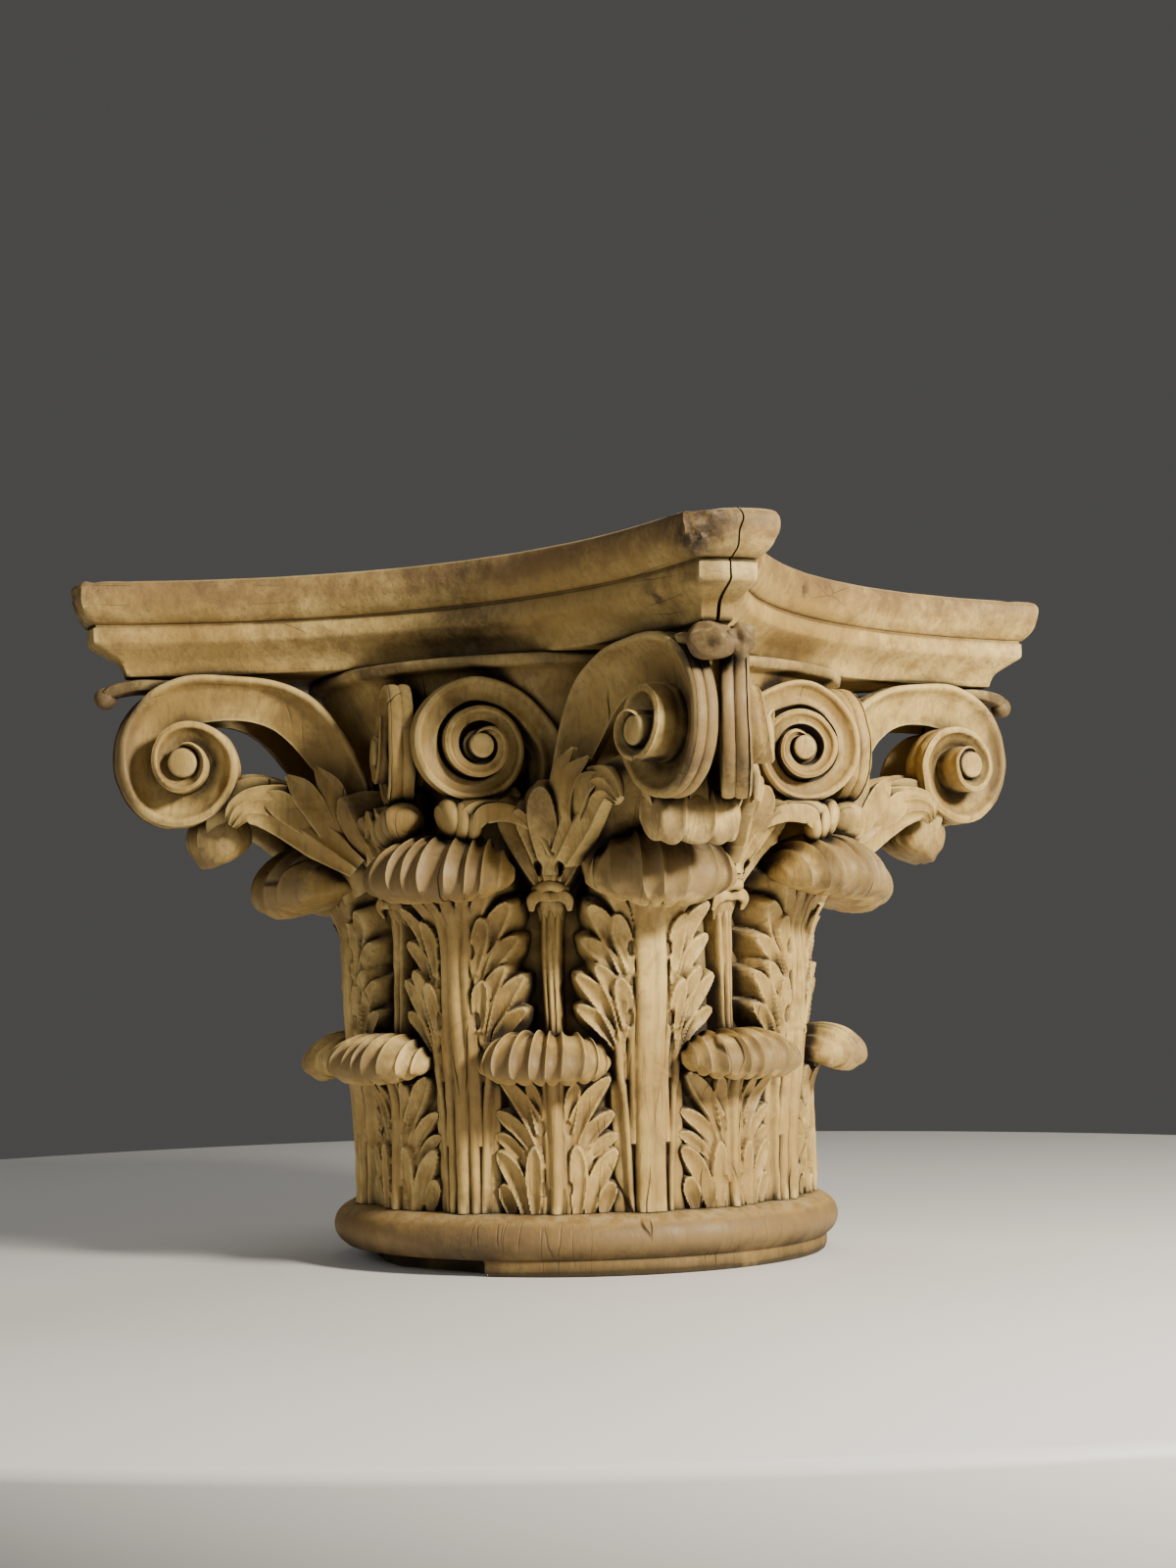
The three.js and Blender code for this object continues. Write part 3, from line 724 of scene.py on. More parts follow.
# %% Ribbon of a scroll
def scroll(place, stem, crown, shrink, turns, band, squash, thickness, channel, drum, strip, eye_radius,
           eye_top):
    """A scroll's ribbon. channel is [(share across, depth)] on its face; drum is how far the coil stands out.
    The band tapers away round the eye and its end sinks under it."""
    rows = [(*outer, *inner, 0.0, 1.0) for outer, inner in stem]
    steps = int(turns * 12)
    for step in range(steps + 1):
        angle = QUARTER - step * math.pi / 6
        sunk = float(smooth(steps - 4, steps, step))
        radius = crown * shrink ** (step / 3)
        narrow = max(radius * (1 - band), 0.94 * eye_radius) * (1 - sunk) + 0.4 * eye_radius * sunk
        radius = radius * (1 - sunk) + 0.8 * eye_radius * sunk
        x, y = math.cos(angle), math.sin(angle)
        x *= squash if x > 0 else 1
        out = drum * float(smooth(4, steps - 5, step)) * (1 - sunk) + (eye_top - 3) * sunk
        rows.append((radius * x, radius * y, narrow * x, narrow * y, out, max(radius / crown, 0.35)))
    rows = bend(rows, len(rows) * 6)
    outer, inner, out, size = rows[:, None, 0:2], rows[:, None, 2:4], rows[:, None, 4], rows[:, None, 5]
    share = np.linspace(0, 1, 22)
    dip = np.interp(share ** (1 + 1.1 * (1 - size)), [c[0] for c in channel], [c[1] for c in channel])
    front = outer + (inner - outer) * share[None, :, None]
    front_w = out + dip * (0.35 + 0.65 * size)
    edge_w = np.linspace(-thickness, -1.4, 17)
    groove = strip * (np.abs(np.sin((edge_w + thickness) / (thickness - 1.4) * 2 * math.pi)) ** 0.6 - 0.8)
    outward = (outer - inner) / np.linalg.norm(outer - inner, axis=-1, keepdims=True)
    edge = outer + outward * groove[None, :, None] * size[..., None]
    edge_w = edge_w + out * (edge_w + thickness) / thickness
    ring_xy = np.concatenate([front, inner, edge], 1)
    ring_w = np.concatenate([front_w, np.full_like(out, -thickness), edge_w], 1)
    points = place(ring_xy[..., 0], ring_xy[..., 1], ring_w)
    return skin(points)


trial_scroll = scroll(scroll_plane(0, 1, 163, 7, 30, 246), [((-20, -30), (-12, -30)), ((-21, 0), (-12, 0))],
                      20, 0.87, 1.5, 0.46, 1, 12, [(0, 0), (1, -5)], 4, 0.8, 5, 4)
print("a trial scroll has", len(trial_scroll[0]), "points")

# %% [markdown]
# ## Eye of a scroll
# On the real capital the band ends in a comma or a low round eye, cut by hand and never quite alike. Here
# every eye is the same low dome in the scroll's own plane, which is the simplest body that hides the
# band's end. Plain discs of the same kind close the gap behind a helix's coil.

# %% Eye of a scroll
def button(place, radius, w, dome):
    """The eye of a scroll: a low dome."""
    share = np.array([1.06, 1.0, 0.94, 0.8, 0.6, 0.35, 0.1])[:, None]
    flattened = np.where(np.arange(7) > 1, dome, 1)
    lift = (np.array([-14, -1.5, -0.3, 0.35, 0.7, 0.9, 1.0]) * flattened)[:, None]
    turn = np.linspace(0, 2 * math.pi, 36, endpoint=False)[None, :]
    return skin(place(radius * share * np.cos(turn), radius * share * np.sin(turn), w + lift))


print("a button has", len(button(scroll_plane(0, 1, 163, 7, 30, 246), 5.8, 5.2, 0.6)[0]), "points")

# %% [markdown]
# ## Volutes and helices
# The large volute rises to the corner and the small helix to the middle of the face. They differ only in
# size, in proportion and in the depths across the band. Two modelled scrolls would have to be kept alike by
# hand, and one ribbon with two sets of numbers stays alike by itself.

# %% Corner volutes and inner helices
VOLUTE_STEM = [((-93, -36), (-80, -38)), ((-91, -20), (-75, -25)), ((-86, -4), (-69, -12)),
               ((-77, 14), (-58, -1)), ((-63, 30.5), (-45, 13)), ((-44, 40), (-32, 20)),
               ((-22, 43.2), (-17, 22))]
VOLUTE_CHANNEL = [(0, -1.4), (0.04, -0.2), (0.09, 0), (0.14, -0.3), (0.19, -2.6), (0.3, -4.8), (0.55, -7.0),
                  (0.8, -8.6), (0.93, -9.0), (1, -9.0)]
HELIX_STEM = [((-38, -44), (-27, -44)), ((-43, -22), (-28, -22)), ((-43.5, -2), (-28, -4)),
              ((-36, 14), (-24, 3)), ((-21, 27.5), (-14, 14))]
HELIX_CHANNEL = [(0, -1.2), (0.05, -0.1), (0.11, 0), (0.17, -0.4), (0.24, -2.0), (0.5, -3.2), (0.74, -2.6),
                 (0.79, -3.4), (0.84, -7.0), (0.93, -8.5), (1, -8.5)]


def corner_volute(azimuth, side):
    """A large volute. Its inner coil stands out like a snail shell, with the eye set a little back in it."""
    place = scroll_plane(azimuth, side, 236, 13, 33, 246.2)
    ribbon = scroll(place, VOLUTE_STEM, 43.5, 0.83, 2.25, 0.535, 0.93, 13, VOLUTE_CHANNEL, 13, 1.5, 7.4, 10.4)
    return [ribbon, button(place, 7.4, 10.4, 0.9)]


def inner_helix(azimuth, side):
    """A small scroll. A flat disc behind its coil closes the gap between the turns."""
    place = scroll_plane(azimuth, side, 163, 7, 30, 246.5)
    ribbon = scroll(place, HELIX_STEM, 33, 0.87, 2.2, 0.46, 1.02, 12, HELIX_CHANNEL, 5.5, 0.8, 5.8, 5.2)
    return [ribbon, button(place, 5.8, 5.2, 0.6), button(place, 15, -4.0, 0.0), button(place, 8.0, -0.5, 0.0)]


for name, bodies in (("volute", corner_volute(EIGHTH, 1)), ("helix", inner_helix(0, 1))):
    low, high = bodies[0][0].min(0), bodies[0][0].max(0)
    print("a", name, "stands from", round(low[2], 1), "to", round(high[2], 1), "mm")

# %% [markdown]
# ## Leaf under a corner
# Under each corner a broad leaf arches out of the wall and turns down at its tip, and both volutes rest on
# it. Its flanks are a hollowed panel with short leaflets laid on it. All of them are straps, and the tip
# is a curl.

# %% Leaf under a corner
def corner_leaf(azimuth, seed):
    """The leaf that arches out under a corner and carries both volutes on its turned-down tip."""
    path = [(116, 184), (128, 204), (142, 220), (157, 231), (172, 235), (184, 229), (188, 216), (186, 206)]
    points = bend([(*p, 0) for p in path], 60)
    direction = np.gradient(points, axis=0)
    upper = np.stack([-direction[:, 1], direction[:, 0]], -1)
    facing = spot(azimuth, upper[:, 0], upper[:, 1])
    body = strap(spot(azimuth, points[:, 0], points[:, 1]), (30, 38, 38, 33, 27, 24, 22, 14),
                 (26, 25, 19, 13, 13, 18, 19, 10), facing, gouge=1.6, lobes=5, ridge=0.8, steps=60,
                 columns=71)
    tip = curl(lambda r, z, s: spot(azimuth, r, z, s), (187, 210), 12.6, 15.4, 23.5, 5, seed,
               ridge=2.2, droop=0.0, fan=0.2, blunt=9)
    bodies = [body, tip]
    for side in (-1, 1):
        place = scroll_plane(azimuth, side, 236, 13, 33, 246.2)
        out = place(0, 0, 1) - place(0, 0, 0)
        flank = [((-76, -40, 0), (-75, -27, 2.5), (-71, -14, 4), (-63, -3, 2)),
                 ((-70, -40, 0), (-66, -28, 3.5), (-58, -16, 5.5), (-49, -7.5, 2.5)),
                 ((-63, -37, 0), (-55, -28, 3.5), (-46, -20.5, 5.5), (-36, -16, 2.5))]
        for path in flank:
            bodies.append(strap([place(*p) for p in path], (2.6, 5.4, 6.0, 1.0), (6, 9, 8, 4), out, gouge=2.2,
                                lean=0.2))
        panel = [place(-84, -50, -5), place(-69, -37, -3), place(-53, -26, -1), place(-38, -21.5, 2),
                 place(-28, -23, 4), place(-23, -30, 4)]
        bodies.append(strap(panel, (8, 13, 13, 10, 7.5, 3), (14, 14, 12, 10, 8, 4), out, gouge=1.3, lobes=3,
                            ridge=0.6, steps=50, columns=44))
    return bodies


print("a corner leaf is made of", len(corner_leaf(EIGHTH, 80)), "bodies")

# %% [markdown]
# ## Leaf under a helix
# A small leaf arches out of the calyx under each helix and ends in a few tight lobes. The lobes are
# rounded bodies set side by side, since at this size a curl's ridges would be lost.

# %% Leaf under a helix
def lobe(place, centre, sizes, tilt=0.0):
    """One curled lobe: a rounded body set in a scroll's plane, turned by tilt in that plane."""
    tall = np.linspace(-QUARTER + 0.06, QUARTER - 0.06, 18)[:, None]
    turn = np.linspace(0, 2 * math.pi, 30, endpoint=False)[None, :]
    x = sizes[0] * np.cos(tall) * np.cos(turn)
    y = sizes[1] * np.sin(tall)
    w = sizes[2] * np.cos(tall) * np.sin(turn)
    c, s = math.cos(tilt), math.sin(tilt)
    return skin(place(centre[0] + c * x - s * y, centre[1] + s * x + c * y, centre[2] + w))


def helix_leaf(azimuth, side):
    """The small leaf that arches out of a calyx under a helix, with a few curled lobes at its tip."""
    place = scroll_plane(azimuth, side, 163, 7, 30, 246.5)
    path = [(-35, -60), (-34, -48), (-27.5, -36.5), (-14, -30), (-2, -28), (6, -30), (10, -35)]
    flat = bend([(*p, 0) for p in path], 44)
    direction = np.gradient(flat, axis=0)
    origin = place(0, 0, 0)
    facing = place(-direction[:, 1], direction[:, 0], 0.0) - origin
    body = strap(place(flat[:, 0], flat[:, 1], -5.0), (5, 6, 7.5, 9, 10, 10, 6), (8, 8, 8, 8.5, 9, 9, 5),
                 facing, gouge=1.2, lobes=3, ridge=0.5, steps=44, columns=40)
    rim = [place(-33, -50, 3), place(-27, -38.5, 5), place(-13, -31.5, 6), place(-1, -32, 6),
           place(3, -37, 5)]
    edge = strap(rim, (2, 3.4, 4.2, 4.6, 2.6), (6, 6, 6, 6, 4), place(0, 0, 1) - origin, gouge=1.0)
    lobes = [lobe(place, (12.5, -33.5, -7), (5.4, 9.8, 10), -0.25),
             lobe(place, (8, -35.5, -3), (4.6, 9.6, 8.5), -0.1),
             lobe(place, (3.2, -36.5, 0.5), (4.2, 8.4, 6.5), 0.12),
             lobe(place, (15, -34, -8), (3.4, 7.5, 7.5), -0.4)]
    return [body, edge, *lobes]


print("a helix leaf is made of", len(helix_leaf(0, 1)), "bodies")

# %% [markdown]
# ## Buds under the abacus
# Between the two volutes of each corner a bud curls out under the slab. The one at the front is broken
# down to two lumps, so it is made of lumpy knobs.

# %% Buds
def corner_bud(azimuth, broken):
    """The bud that curls out from between the volutes under the abacus corner."""
    upward = (0, 0, 1)
    if broken:
        stump = [spot(azimuth, 206, 286, -9), spot(azimuth, 221, 284, -12), spot(azimuth, 232, 282, -8)]
        return [knob(spot(azimuth, 233, 281.5, -4), (11, 11, 7.5), 3, 0.16, 30),
                knob(spot(azimuth, 236, 282, 8), (6.5, 6.5, 7), 5, 0.2, 26),
                strap(stump, (3, 4, 4), (5, 6, 6), upward)]
    arch = [spot(azimuth, 206, 286), spot(azimuth, 224, 286.5), spot(azimuth, 236, 284.5),
            spot(azimuth, 241, 282)]
    return [strap(arch, (10, 9, 7, 5), (8, 8, 8, 7), upward, gouge=0.8),
            knob(spot(azimuth, 240.5, 280.6), (5.4, 5.4, 5.4))]


print("a whole bud is", len(corner_bud(0, False)), "bodies and the broken one", len(corner_bud(0, True)))

# %% [markdown]
# ## Every scroll in its place
# Volutes, corner leaves and buds go into one object and the helices with their leaves into another, so
# that neither has too many faces.

# %% Carve the scrolls
CORNER_TRIANGLES = 170000
FACE_TRIANGLES = 130000
corner_bodies, face_bodies = [], []
for k in range(4):
    corner = EIGHTH + k * QUARTER
    corner_bodies += corner_leaf(corner, 80 + k)
    corner_bodies += corner_bud(corner, k == 0)
    for side in (-1, 1):
        corner_bodies += corner_volute(corner, side)
        face_bodies += inner_helix(k * QUARTER, side)
        face_bodies += helix_leaf(k * QUARTER, side)
corner_scrolls = thin_out(make_piece("corner_scrolls", corner_bodies, hand_cut), CORNER_TRIANGLES)
face_scrolls = thin_out(make_piece("face_scrolls", face_bodies, hand_cut), FACE_TRIANGLES)

# %% [markdown]
# ## Abacus
# The slab is one moulding run round a plan of four hollow sides and four cut-off corners. Each level of the
# moulding is the same plan pushed out by the profile.

# %% Plan of the slab
CORNER_REACH = 231.5
SIDE_REACH = 118.0
CAVETTO_STEP = 18.5


def plan(step, height, side_points):
    """The outline of the abacus at one level, where its profile stands out by step."""
    reach = CORNER_REACH + step
    over = max(step - CAVETTO_STEP, 0)
    half = 7 + 0.34 * min(step, CAVETTO_STEP) + 0.84 * over
    hollow = SIDE_REACH + 0.61 * step + 0.09 * over
    bulge = 5 * (half / 22) ** 2
    outline = []
    for k in range(4):
        corner = EIGHTH + k * QUARTER
        v = np.linspace(-1, 1, 21)
        cut = np.zeros(21)
        if k == 0:
            crack = 0.13 * smooth(10, 40, height) + 0.03 * math.sin(height * 0.5)
            gap = (0.42 + 0.45 * (1 - smooth(4, 22, height))) / half
            v[9:12] = crack - gap, crack, crack + gap
            cut[10] = 4.5
        outline.append(spot(corner, reach - bulge * v ** 2 - cut, 0.0, half * v))
        start = spot(corner, reach - bulge, 0.0, half)
        end = spot(corner + QUARTER, reach - bulge, 0.0, -half)
        middle = spot(corner + EIGHTH, hollow, 0.0)
        chord_middle = (start + end) / 2
        sag = np.linalg.norm(chord_middle - middle)
        chord = np.linalg.norm(end - start)
        radius = (sag ** 2 + chord ** 2 / 4) / (2 * sag)
        outward = (chord_middle - middle) / sag
        centre = middle + outward * radius
        sweep = math.asin(chord / 2 / radius)
        angle = np.linspace(-sweep, sweep, side_points + 2)[1:-1, None]
        along = (end - start) / chord
        outline.append(centre + along * radius * np.sin(angle) - outward * radius * np.cos(angle))
    return np.concatenate(outline)


print("the slab's plan at its foot has", len(plan(0, 0, 130)), "points")

# %% [markdown]
# ## The moulding
# The slab's edge is a flat fascia, a hollow cavetto, a flat fillet, a narrow groove and a round ovolo. The
# profile is a list of steps out and heights, with the ovolo as a smooth curve through a few points.

# %% Moulding profile
def moulding_profile():
    """Fascia, cavetto, fillet and ovolo as (step out, height above the underside)."""
    profile = [(-1.5, 0), (0, 0.6), (0.6, 2.5), (2.0, 5.5), (3.6, 7.4)]
    for share in np.linspace(0.15, 1, 7):
        profile.append((3.6 + 12.5 * share ** 1.12, 7.4 + 7.4 * share))
    profile += [(17.2, 15.6), (17.9, 16.6), (18.0, 18.5), (18.1, 23.1), (16.6, 23.9), (16.9, 24.9)]
    ovolo = bend([(19.2, 25.4), (22.8, 28), (25.8, 31.6), (27.6, 35.4), (28.2, 39.2), (28.0, 42.2),
                  (26.8, 44.4)], 20)
    profile += [tuple(point) for point in ovolo]
    profile += [(24.5, 45.4), (21.0, 45.5), (12.0, 45.5), (2.0, 45.5), (-8.0, 45.5)]
    return profile


print("the moulding has", len(moulding_profile()), "levels")

# %% [markdown]
# ## Knocks and wear
# The slab's edge is what gets knocked first. The ovolo is rounded off unevenly, two corners are chipped,
# and a nail has left a hole. All of this moves points of the mesh, so that it shows in the outline and not
# only in the shading.

# %% Wear of the slab
NAIL_HOLE = (136.0, -7.0, 326.0)


def worn_slab(points):
    """Knocks and wear on the slab: the ovolo's edge is rounded off unevenly and its corners are chipped."""
    radius = np.linalg.norm(points[:, :2], axis=1)
    rise = points[:, 2] - ABACUS_FOOT
    ovolo = smooth(24, 34, rise)
    corner = smooth(222, 250, radius)
    front = np.exp(-((points[:, 0] - 168) ** 2 + (points[:, 1] + 196) ** 2) / 14 ** 2)
    left = np.exp(-((points[:, 0] + 190) ** 2 + (points[:, 1] + 176) ** 2) / 14 ** 2)
    fine = 0.5 + 0.5 * ripple(points, 7, 12)
    inward = ovolo * (0.35 + 0.35 * ripple(points, 34, 11) + 0.3 * fine)
    inward += ovolo * corner * 2.0 * smooth(0.3, 1.2, ripple(points, 15, 13))
    inward += ovolo * (front * (1.5 + 2.2 * fine + ripple(points, 4, 14)) + left * (2.5 + 1.5 * fine))
    inward += 0.12 * (1 + ripple(points, 16, 15))
    inward += 4.0 * np.exp(-((points - np.array(NAIL_HOLE)) ** 2).sum(1) / 2.2 ** 2)
    moved = points.copy()
    moved[:, :2] *= (1 - np.maximum(inward, 0) / radius)[:, None]
    edge = smooth(43.5, 45.3, rise) * smooth(0, 12, radius - 110)
    moved[:, 2] -= edge * (front + 0.7 * left + 0.5 * corner * smooth(0.2, 1, ripple(points, 12, 16))) * 1.6
    return moved


hole = np.array([NAIL_HOLE])
print("the nail hole is", round(float(np.linalg.norm(worn_slab(hole) - hole)), 1), "mm deep")

# %% [markdown]
# ## The slab
# The plan is laid at each level of the profile, pushed out by its step, and the levels are skinned.

# %% Abacus
def abacus_body():
    """The slab: its plan at each level of the moulding."""
    rings = []
    for step, rise in moulding_profile():
        ring = plan(step, rise, 130)
        ring[:, 2] = ABACUS_FOOT + rise
        rings.append(ring)
    return skin(np.array(rings))


SLAB_TRIANGLES = 80000
abacus = thin_out(make_piece("abacus_slab", [abacus_body()], worn_slab), SLAB_TRIANGLES)

# %% [markdown]
# ## Foot ring
# The ring is lathe work: one profile turned round the axis, with a half-round bead over a small fillet.
# Along one stretch the fillet has broken away, so its radius is cut back there to a ragged line.

# %% Astragal ring
def ring_body():
    """The turned ring, with its fillet broken back along one stretch."""
    profile = [(60, 0), (120.0, 0), (121.4, 0.8), (122.2, 3.0), (122.4, 6.4), (122.2, 7.6)]
    for degrees in range(-58, 70, 8):
        angle = math.radians(degrees)
        profile.append((117.2 + 11 * math.cos(angle), 17.2 + 10.4 * math.sin(angle)))
    profile += [(119.5, 27.9), (117.0, RING_TOP), (60, RING_TOP)]
    profile = np.array(profile)
    turn = np.linspace(0, 2 * math.pi, 540, endpoint=False)
    radius = np.repeat(profile[:, :1], len(turn), 1)
    height = np.repeat(profile[:, 1:], len(turn), 1)
    degrees = (np.degrees(turn) + 180) % 360 - 180
    gone = smooth(-84.5, -83.5, degrees) * (1 - smooth(5.2, 6.2, degrees))
    ragged = 106.5 + 1.6 * np.sin(degrees * 0.16) + 0.6 * np.sin(degrees * 0.45 + 1)
    low = (height < 7.0) & (radius > 100)
    radius = np.where(low, radius + gone * (ragged - radius), radius)
    return skin(np.stack([radius * np.sin(turn), -radius * np.cos(turn), height], -1))


RING_TRIANGLES = 70000
ring = thin_out(make_piece("foot_ring", [ring_body()]), RING_TRIANGLES)

# %% [markdown]
# ## Finish
# One old finish covers the wood: a thin cream wash that has yellowed, rubbed through to grey-brown wood on
# whatever stands proud, with dark grime and painted shade in the cuts, painted highlights on sharp ridges,
# pale dust on what faces up, and fine cracks.

# %% Nodes, groups and sums
def node(tree, kind, **settings):
    made = tree.nodes.new(kind)
    for key, value in settings.items():
        setattr(made, key, value)
    return made


def new_group(name, inputs, outputs):
    group = bpy.data.node_groups.new(name, "ShaderNodeTree")
    for label, kind, default in inputs:
        socket = group.interface.new_socket(label, in_out="INPUT", socket_type=kind)
        if default is not None:
            socket.default_value = default
    for label, kind in outputs:
        group.interface.new_socket(label, in_out="OUTPUT", socket_type=kind)
    return group, group.nodes.new("NodeGroupInput"), group.nodes.new("NodeGroupOutput")


def math_node(tree, operation, a, b=None, c=None, clamp=False):
    made = node(tree, "ShaderNodeMath", operation=operation, use_clamp=clamp)
    for socket, value in zip(made.inputs, (a, b, c)):
        if value is None:
            continue
        if isinstance(value, (int, float)):
            socket.default_value = value
        else:
            tree.links.new(value, socket)
    return made.outputs[0]


print("node helpers:", *(helper.__name__ for helper in (node, new_group, math_node)))

# %% [markdown]
# ## Masks and mixes
# A mask is a noise or a shading value pushed through a ramp, and a mix lays one colour over another by a
# mask. These three helpers keep each layer of the finish to one line.

# %% Ramps, mixes and noise
def ramp(tree, value, low, high, start=0.0, stop=1.0):
    made = node(tree, "ShaderNodeMapRange", interpolation_type="SMOOTHSTEP")
    tree.links.new(value, made.inputs["Value"])
    made.inputs["From Min"].default_value = low
    made.inputs["From Max"].default_value = high
    made.inputs["To Min"].default_value = start
    made.inputs["To Max"].default_value = stop
    return made.outputs["Result"]


def mix_colour(tree, factor, a, b, blend="MIX"):
    made = node(tree, "ShaderNodeMix", data_type="RGBA", blend_type=blend)
    for socket, value in ((made.inputs[0], factor), (made.inputs[6], a), (made.inputs[7], b)):
        if isinstance(value, (int, float)):
            socket.default_value = value
        elif isinstance(value, tuple):
            socket.default_value = (*value, 1.0)
        else:
            tree.links.new(value, socket)
    return made.outputs[2]


def noise(tree, vector, scale, detail=4.0, roughness=0.55, distortion=0.0):
    made = node(tree, "ShaderNodeTexNoise")
    tree.links.new(vector, made.inputs["Vector"])
    made.inputs["Scale"].default_value = scale
    made.inputs["Detail"].default_value = detail
    made.inputs["Roughness"].default_value = roughness
    made.inputs["Distortion"].default_value = distortion
    return made.outputs["Fac"]


print("node helpers:", *(helper.__name__ for helper in (ramp, mix_colour, noise)))

# %% [markdown]
# ## Painted shade, grime and rubbing
# Dirt settles where a brush cannot reach, and the wash goes first where hands can. Ambient occlusion
# measures how closed in a point is, over a short and a longer distance. Closed-in points are made dark, which
# is painted shade in the cuts as well as grime. It is one node group, because all three woods use it.

# %% Painted shade, grime and rubbing
def shade_grime_rub_group():
    """Masks for painted shade and dirt in the cuts and rubbed high parts, from how closed in each point is.
    """
    group, start, end = new_group(
        "shade_grime_and_rub",
        [("Position", "NodeSocketVector", None), ("Rub", "NodeSocketFloat", 0.0)],
        [("Shade_and_grime", "NodeSocketFloat"), ("Bare", "NodeSocketFloat"), ("Dust", "NodeSocketFloat"),
         ("Upward", "NodeSocketFloat")])
    where, rub = start.outputs["Position"], start.outputs["Rub"]
    near = node(group, "ShaderNodeAmbientOcclusion", samples=8)
    near.inputs["Distance"].default_value = 0.009
    wide = node(group, "ShaderNodeAmbientOcclusion", samples=8)
    wide.inputs["Distance"].default_value = 0.035
    patches = noise(group, where, 28.0, 5.0, 0.6)
    specks = noise(group, where, 160.0, 4.0, 0.6)
    # How closed in a point is sets the darkening in the cuts: painted shade as well as grime.
    closed = math_node(group, "ADD", ramp(group, near.outputs["AO"], 0.9, 0.3),
                       ramp(group, wide.outputs["AO"], 0.85, 0.2))
    shade_and_grime = math_node(group, "MULTIPLY", closed, ramp(group, patches, 0.25, 0.7, 0.35, 1.0))
    shade_and_grime = math_node(group, "MULTIPLY", shade_and_grime, 0.95, clamp=True)
    broken = math_node(group, "ADD", rub, math_node(group, "MULTIPLY_ADD", specks, 0.8, -0.4))
    broken = math_node(group, "ADD", broken, math_node(group, "MULTIPLY_ADD", patches, 0.9, -0.45))
    bare = ramp(group, broken, 0.25, 0.8)
    facing = node(group, "ShaderNodeNewGeometry")
    upright = node(group, "ShaderNodeSeparateXYZ")
    group.links.new(facing.outputs["Normal"], upright.inputs[0])
    upward = ramp(group, upright.outputs["Z"], 0.55, 0.95)
    dust = math_node(group, "MULTIPLY", upward, ramp(group, specks, 0.35, 0.65))
    group.links.new(upward, end.inputs["Upward"])
    group.links.new(shade_and_grime, end.inputs["Shade_and_grime"])
    group.links.new(bare, end.inputs["Bare"])
    group.links.new(dust, end.inputs["Dust"])
    return group


SHADE_GRIME_RUB = shade_grime_rub_group()
print("group", SHADE_GRIME_RUB.name, "has", len(SHADE_GRIME_RUB.nodes), "nodes")

# %% [markdown]
# ## Cracks and grain
# Old wood cracks along its grain, which stands upright in the bell. The edges of stretched Voronoi cells,
# laid out by the angle round the axis and the height, give broken lines along it. Fine noise stretched the
# same way is the grain. An image of old wood would show its own cracks, and not follow the form.

# %% Cracks and grain
def crack_group():
    """Long drying cracks that run with the grain, and the fine crackle of the old wash."""
    group, start, end = new_group(
        "cracks_and_grain",
        [("Position", "NodeSocketVector", None), ("Along", "NodeSocketVector", (1.0, 1.0, 0.12))],
        [("Crack", "NodeSocketFloat"), ("Crackle", "NodeSocketFloat"), ("Grain", "NodeSocketFloat")])
    where = start.outputs["Position"]
    stretched = node(group, "ShaderNodeVectorMath", operation="MULTIPLY")
    group.links.new(where, stretched.inputs[0])
    group.links.new(start.outputs["Along"], stretched.inputs[1])
    long_way = stretched.outputs["Vector"]
    sway = node(group, "ShaderNodeTexNoise")
    group.links.new(where, sway.inputs["Vector"])
    sway.inputs["Scale"].default_value = 45.0
    bent = node(group, "ShaderNodeVectorMath", operation="MULTIPLY_ADD")
    group.links.new(sway.outputs["Color"], bent.inputs[0])
    bent.inputs[1].default_value = (0.003, 0.003, 0.003)
    group.links.new(long_way, bent.inputs[2])

    parts = node(group, "ShaderNodeSeparateXYZ")
    group.links.new(bent.outputs["Vector"], parts.inputs[0])
    towards_front = math_node(group, "MULTIPLY", parts.outputs["Y"], -1.0)
    turn = math_node(group, "ARCTAN2", parts.outputs["X"], towards_front)
    flat = node(group, "ShaderNodeCombineXYZ")
    group.links.new(math_node(group, "MULTIPLY", turn, 0.117), flat.inputs[0])
    group.links.new(parts.outputs["Z"], flat.inputs[1])

    def lines(scale, width):
        cells = node(group, "ShaderNodeTexVoronoi", feature="DISTANCE_TO_EDGE", voronoi_dimensions="2D")
        group.links.new(flat.outputs["Vector"], cells.inputs["Vector"])
        cells.inputs["Scale"].default_value = scale
        return ramp(group, cells.outputs["Distance"], width, 0.0)

    some = ramp(group, noise(group, where, 16.0, 2.0), 0.56, 0.66)
    few = ramp(group, noise(group, where, 22.0, 3.0), 0.54, 0.66)
    group.links.new(math_node(group, "MULTIPLY", lines(42.0, 0.016), some), end.inputs["Crack"])
    group.links.new(math_node(group, "MULTIPLY", lines(120.0, 0.05), few), end.inputs["Crackle"])
    fine = node(group, "ShaderNodeVectorMath", operation="MULTIPLY")
    group.links.new(long_way, fine.inputs[0])
    fine.inputs[1].default_value = (1.0, 1.0, 0.3)
    group.links.new(noise(group, fine.outputs["Vector"], 420.0, 5.0, 0.65, 0.4), end.inputs["Grain"])
    return group


CRACKS = crack_group()
print("group", CRACKS.name, "has", len(CRACKS.nodes), "nodes")

# %% [markdown]
# ## Worn wash
# The finish is built up in the order in which it happened: a cream wash that yellowed in patches, wood
# showing through where it wore, stains, grime in the cuts, dust, and cracks last. Painted shade lies in the
# cuts with the grime and in the creases, and painted highlights lie on sharp ridges. The three woods share
# the recipe, each with its own colours and shares.

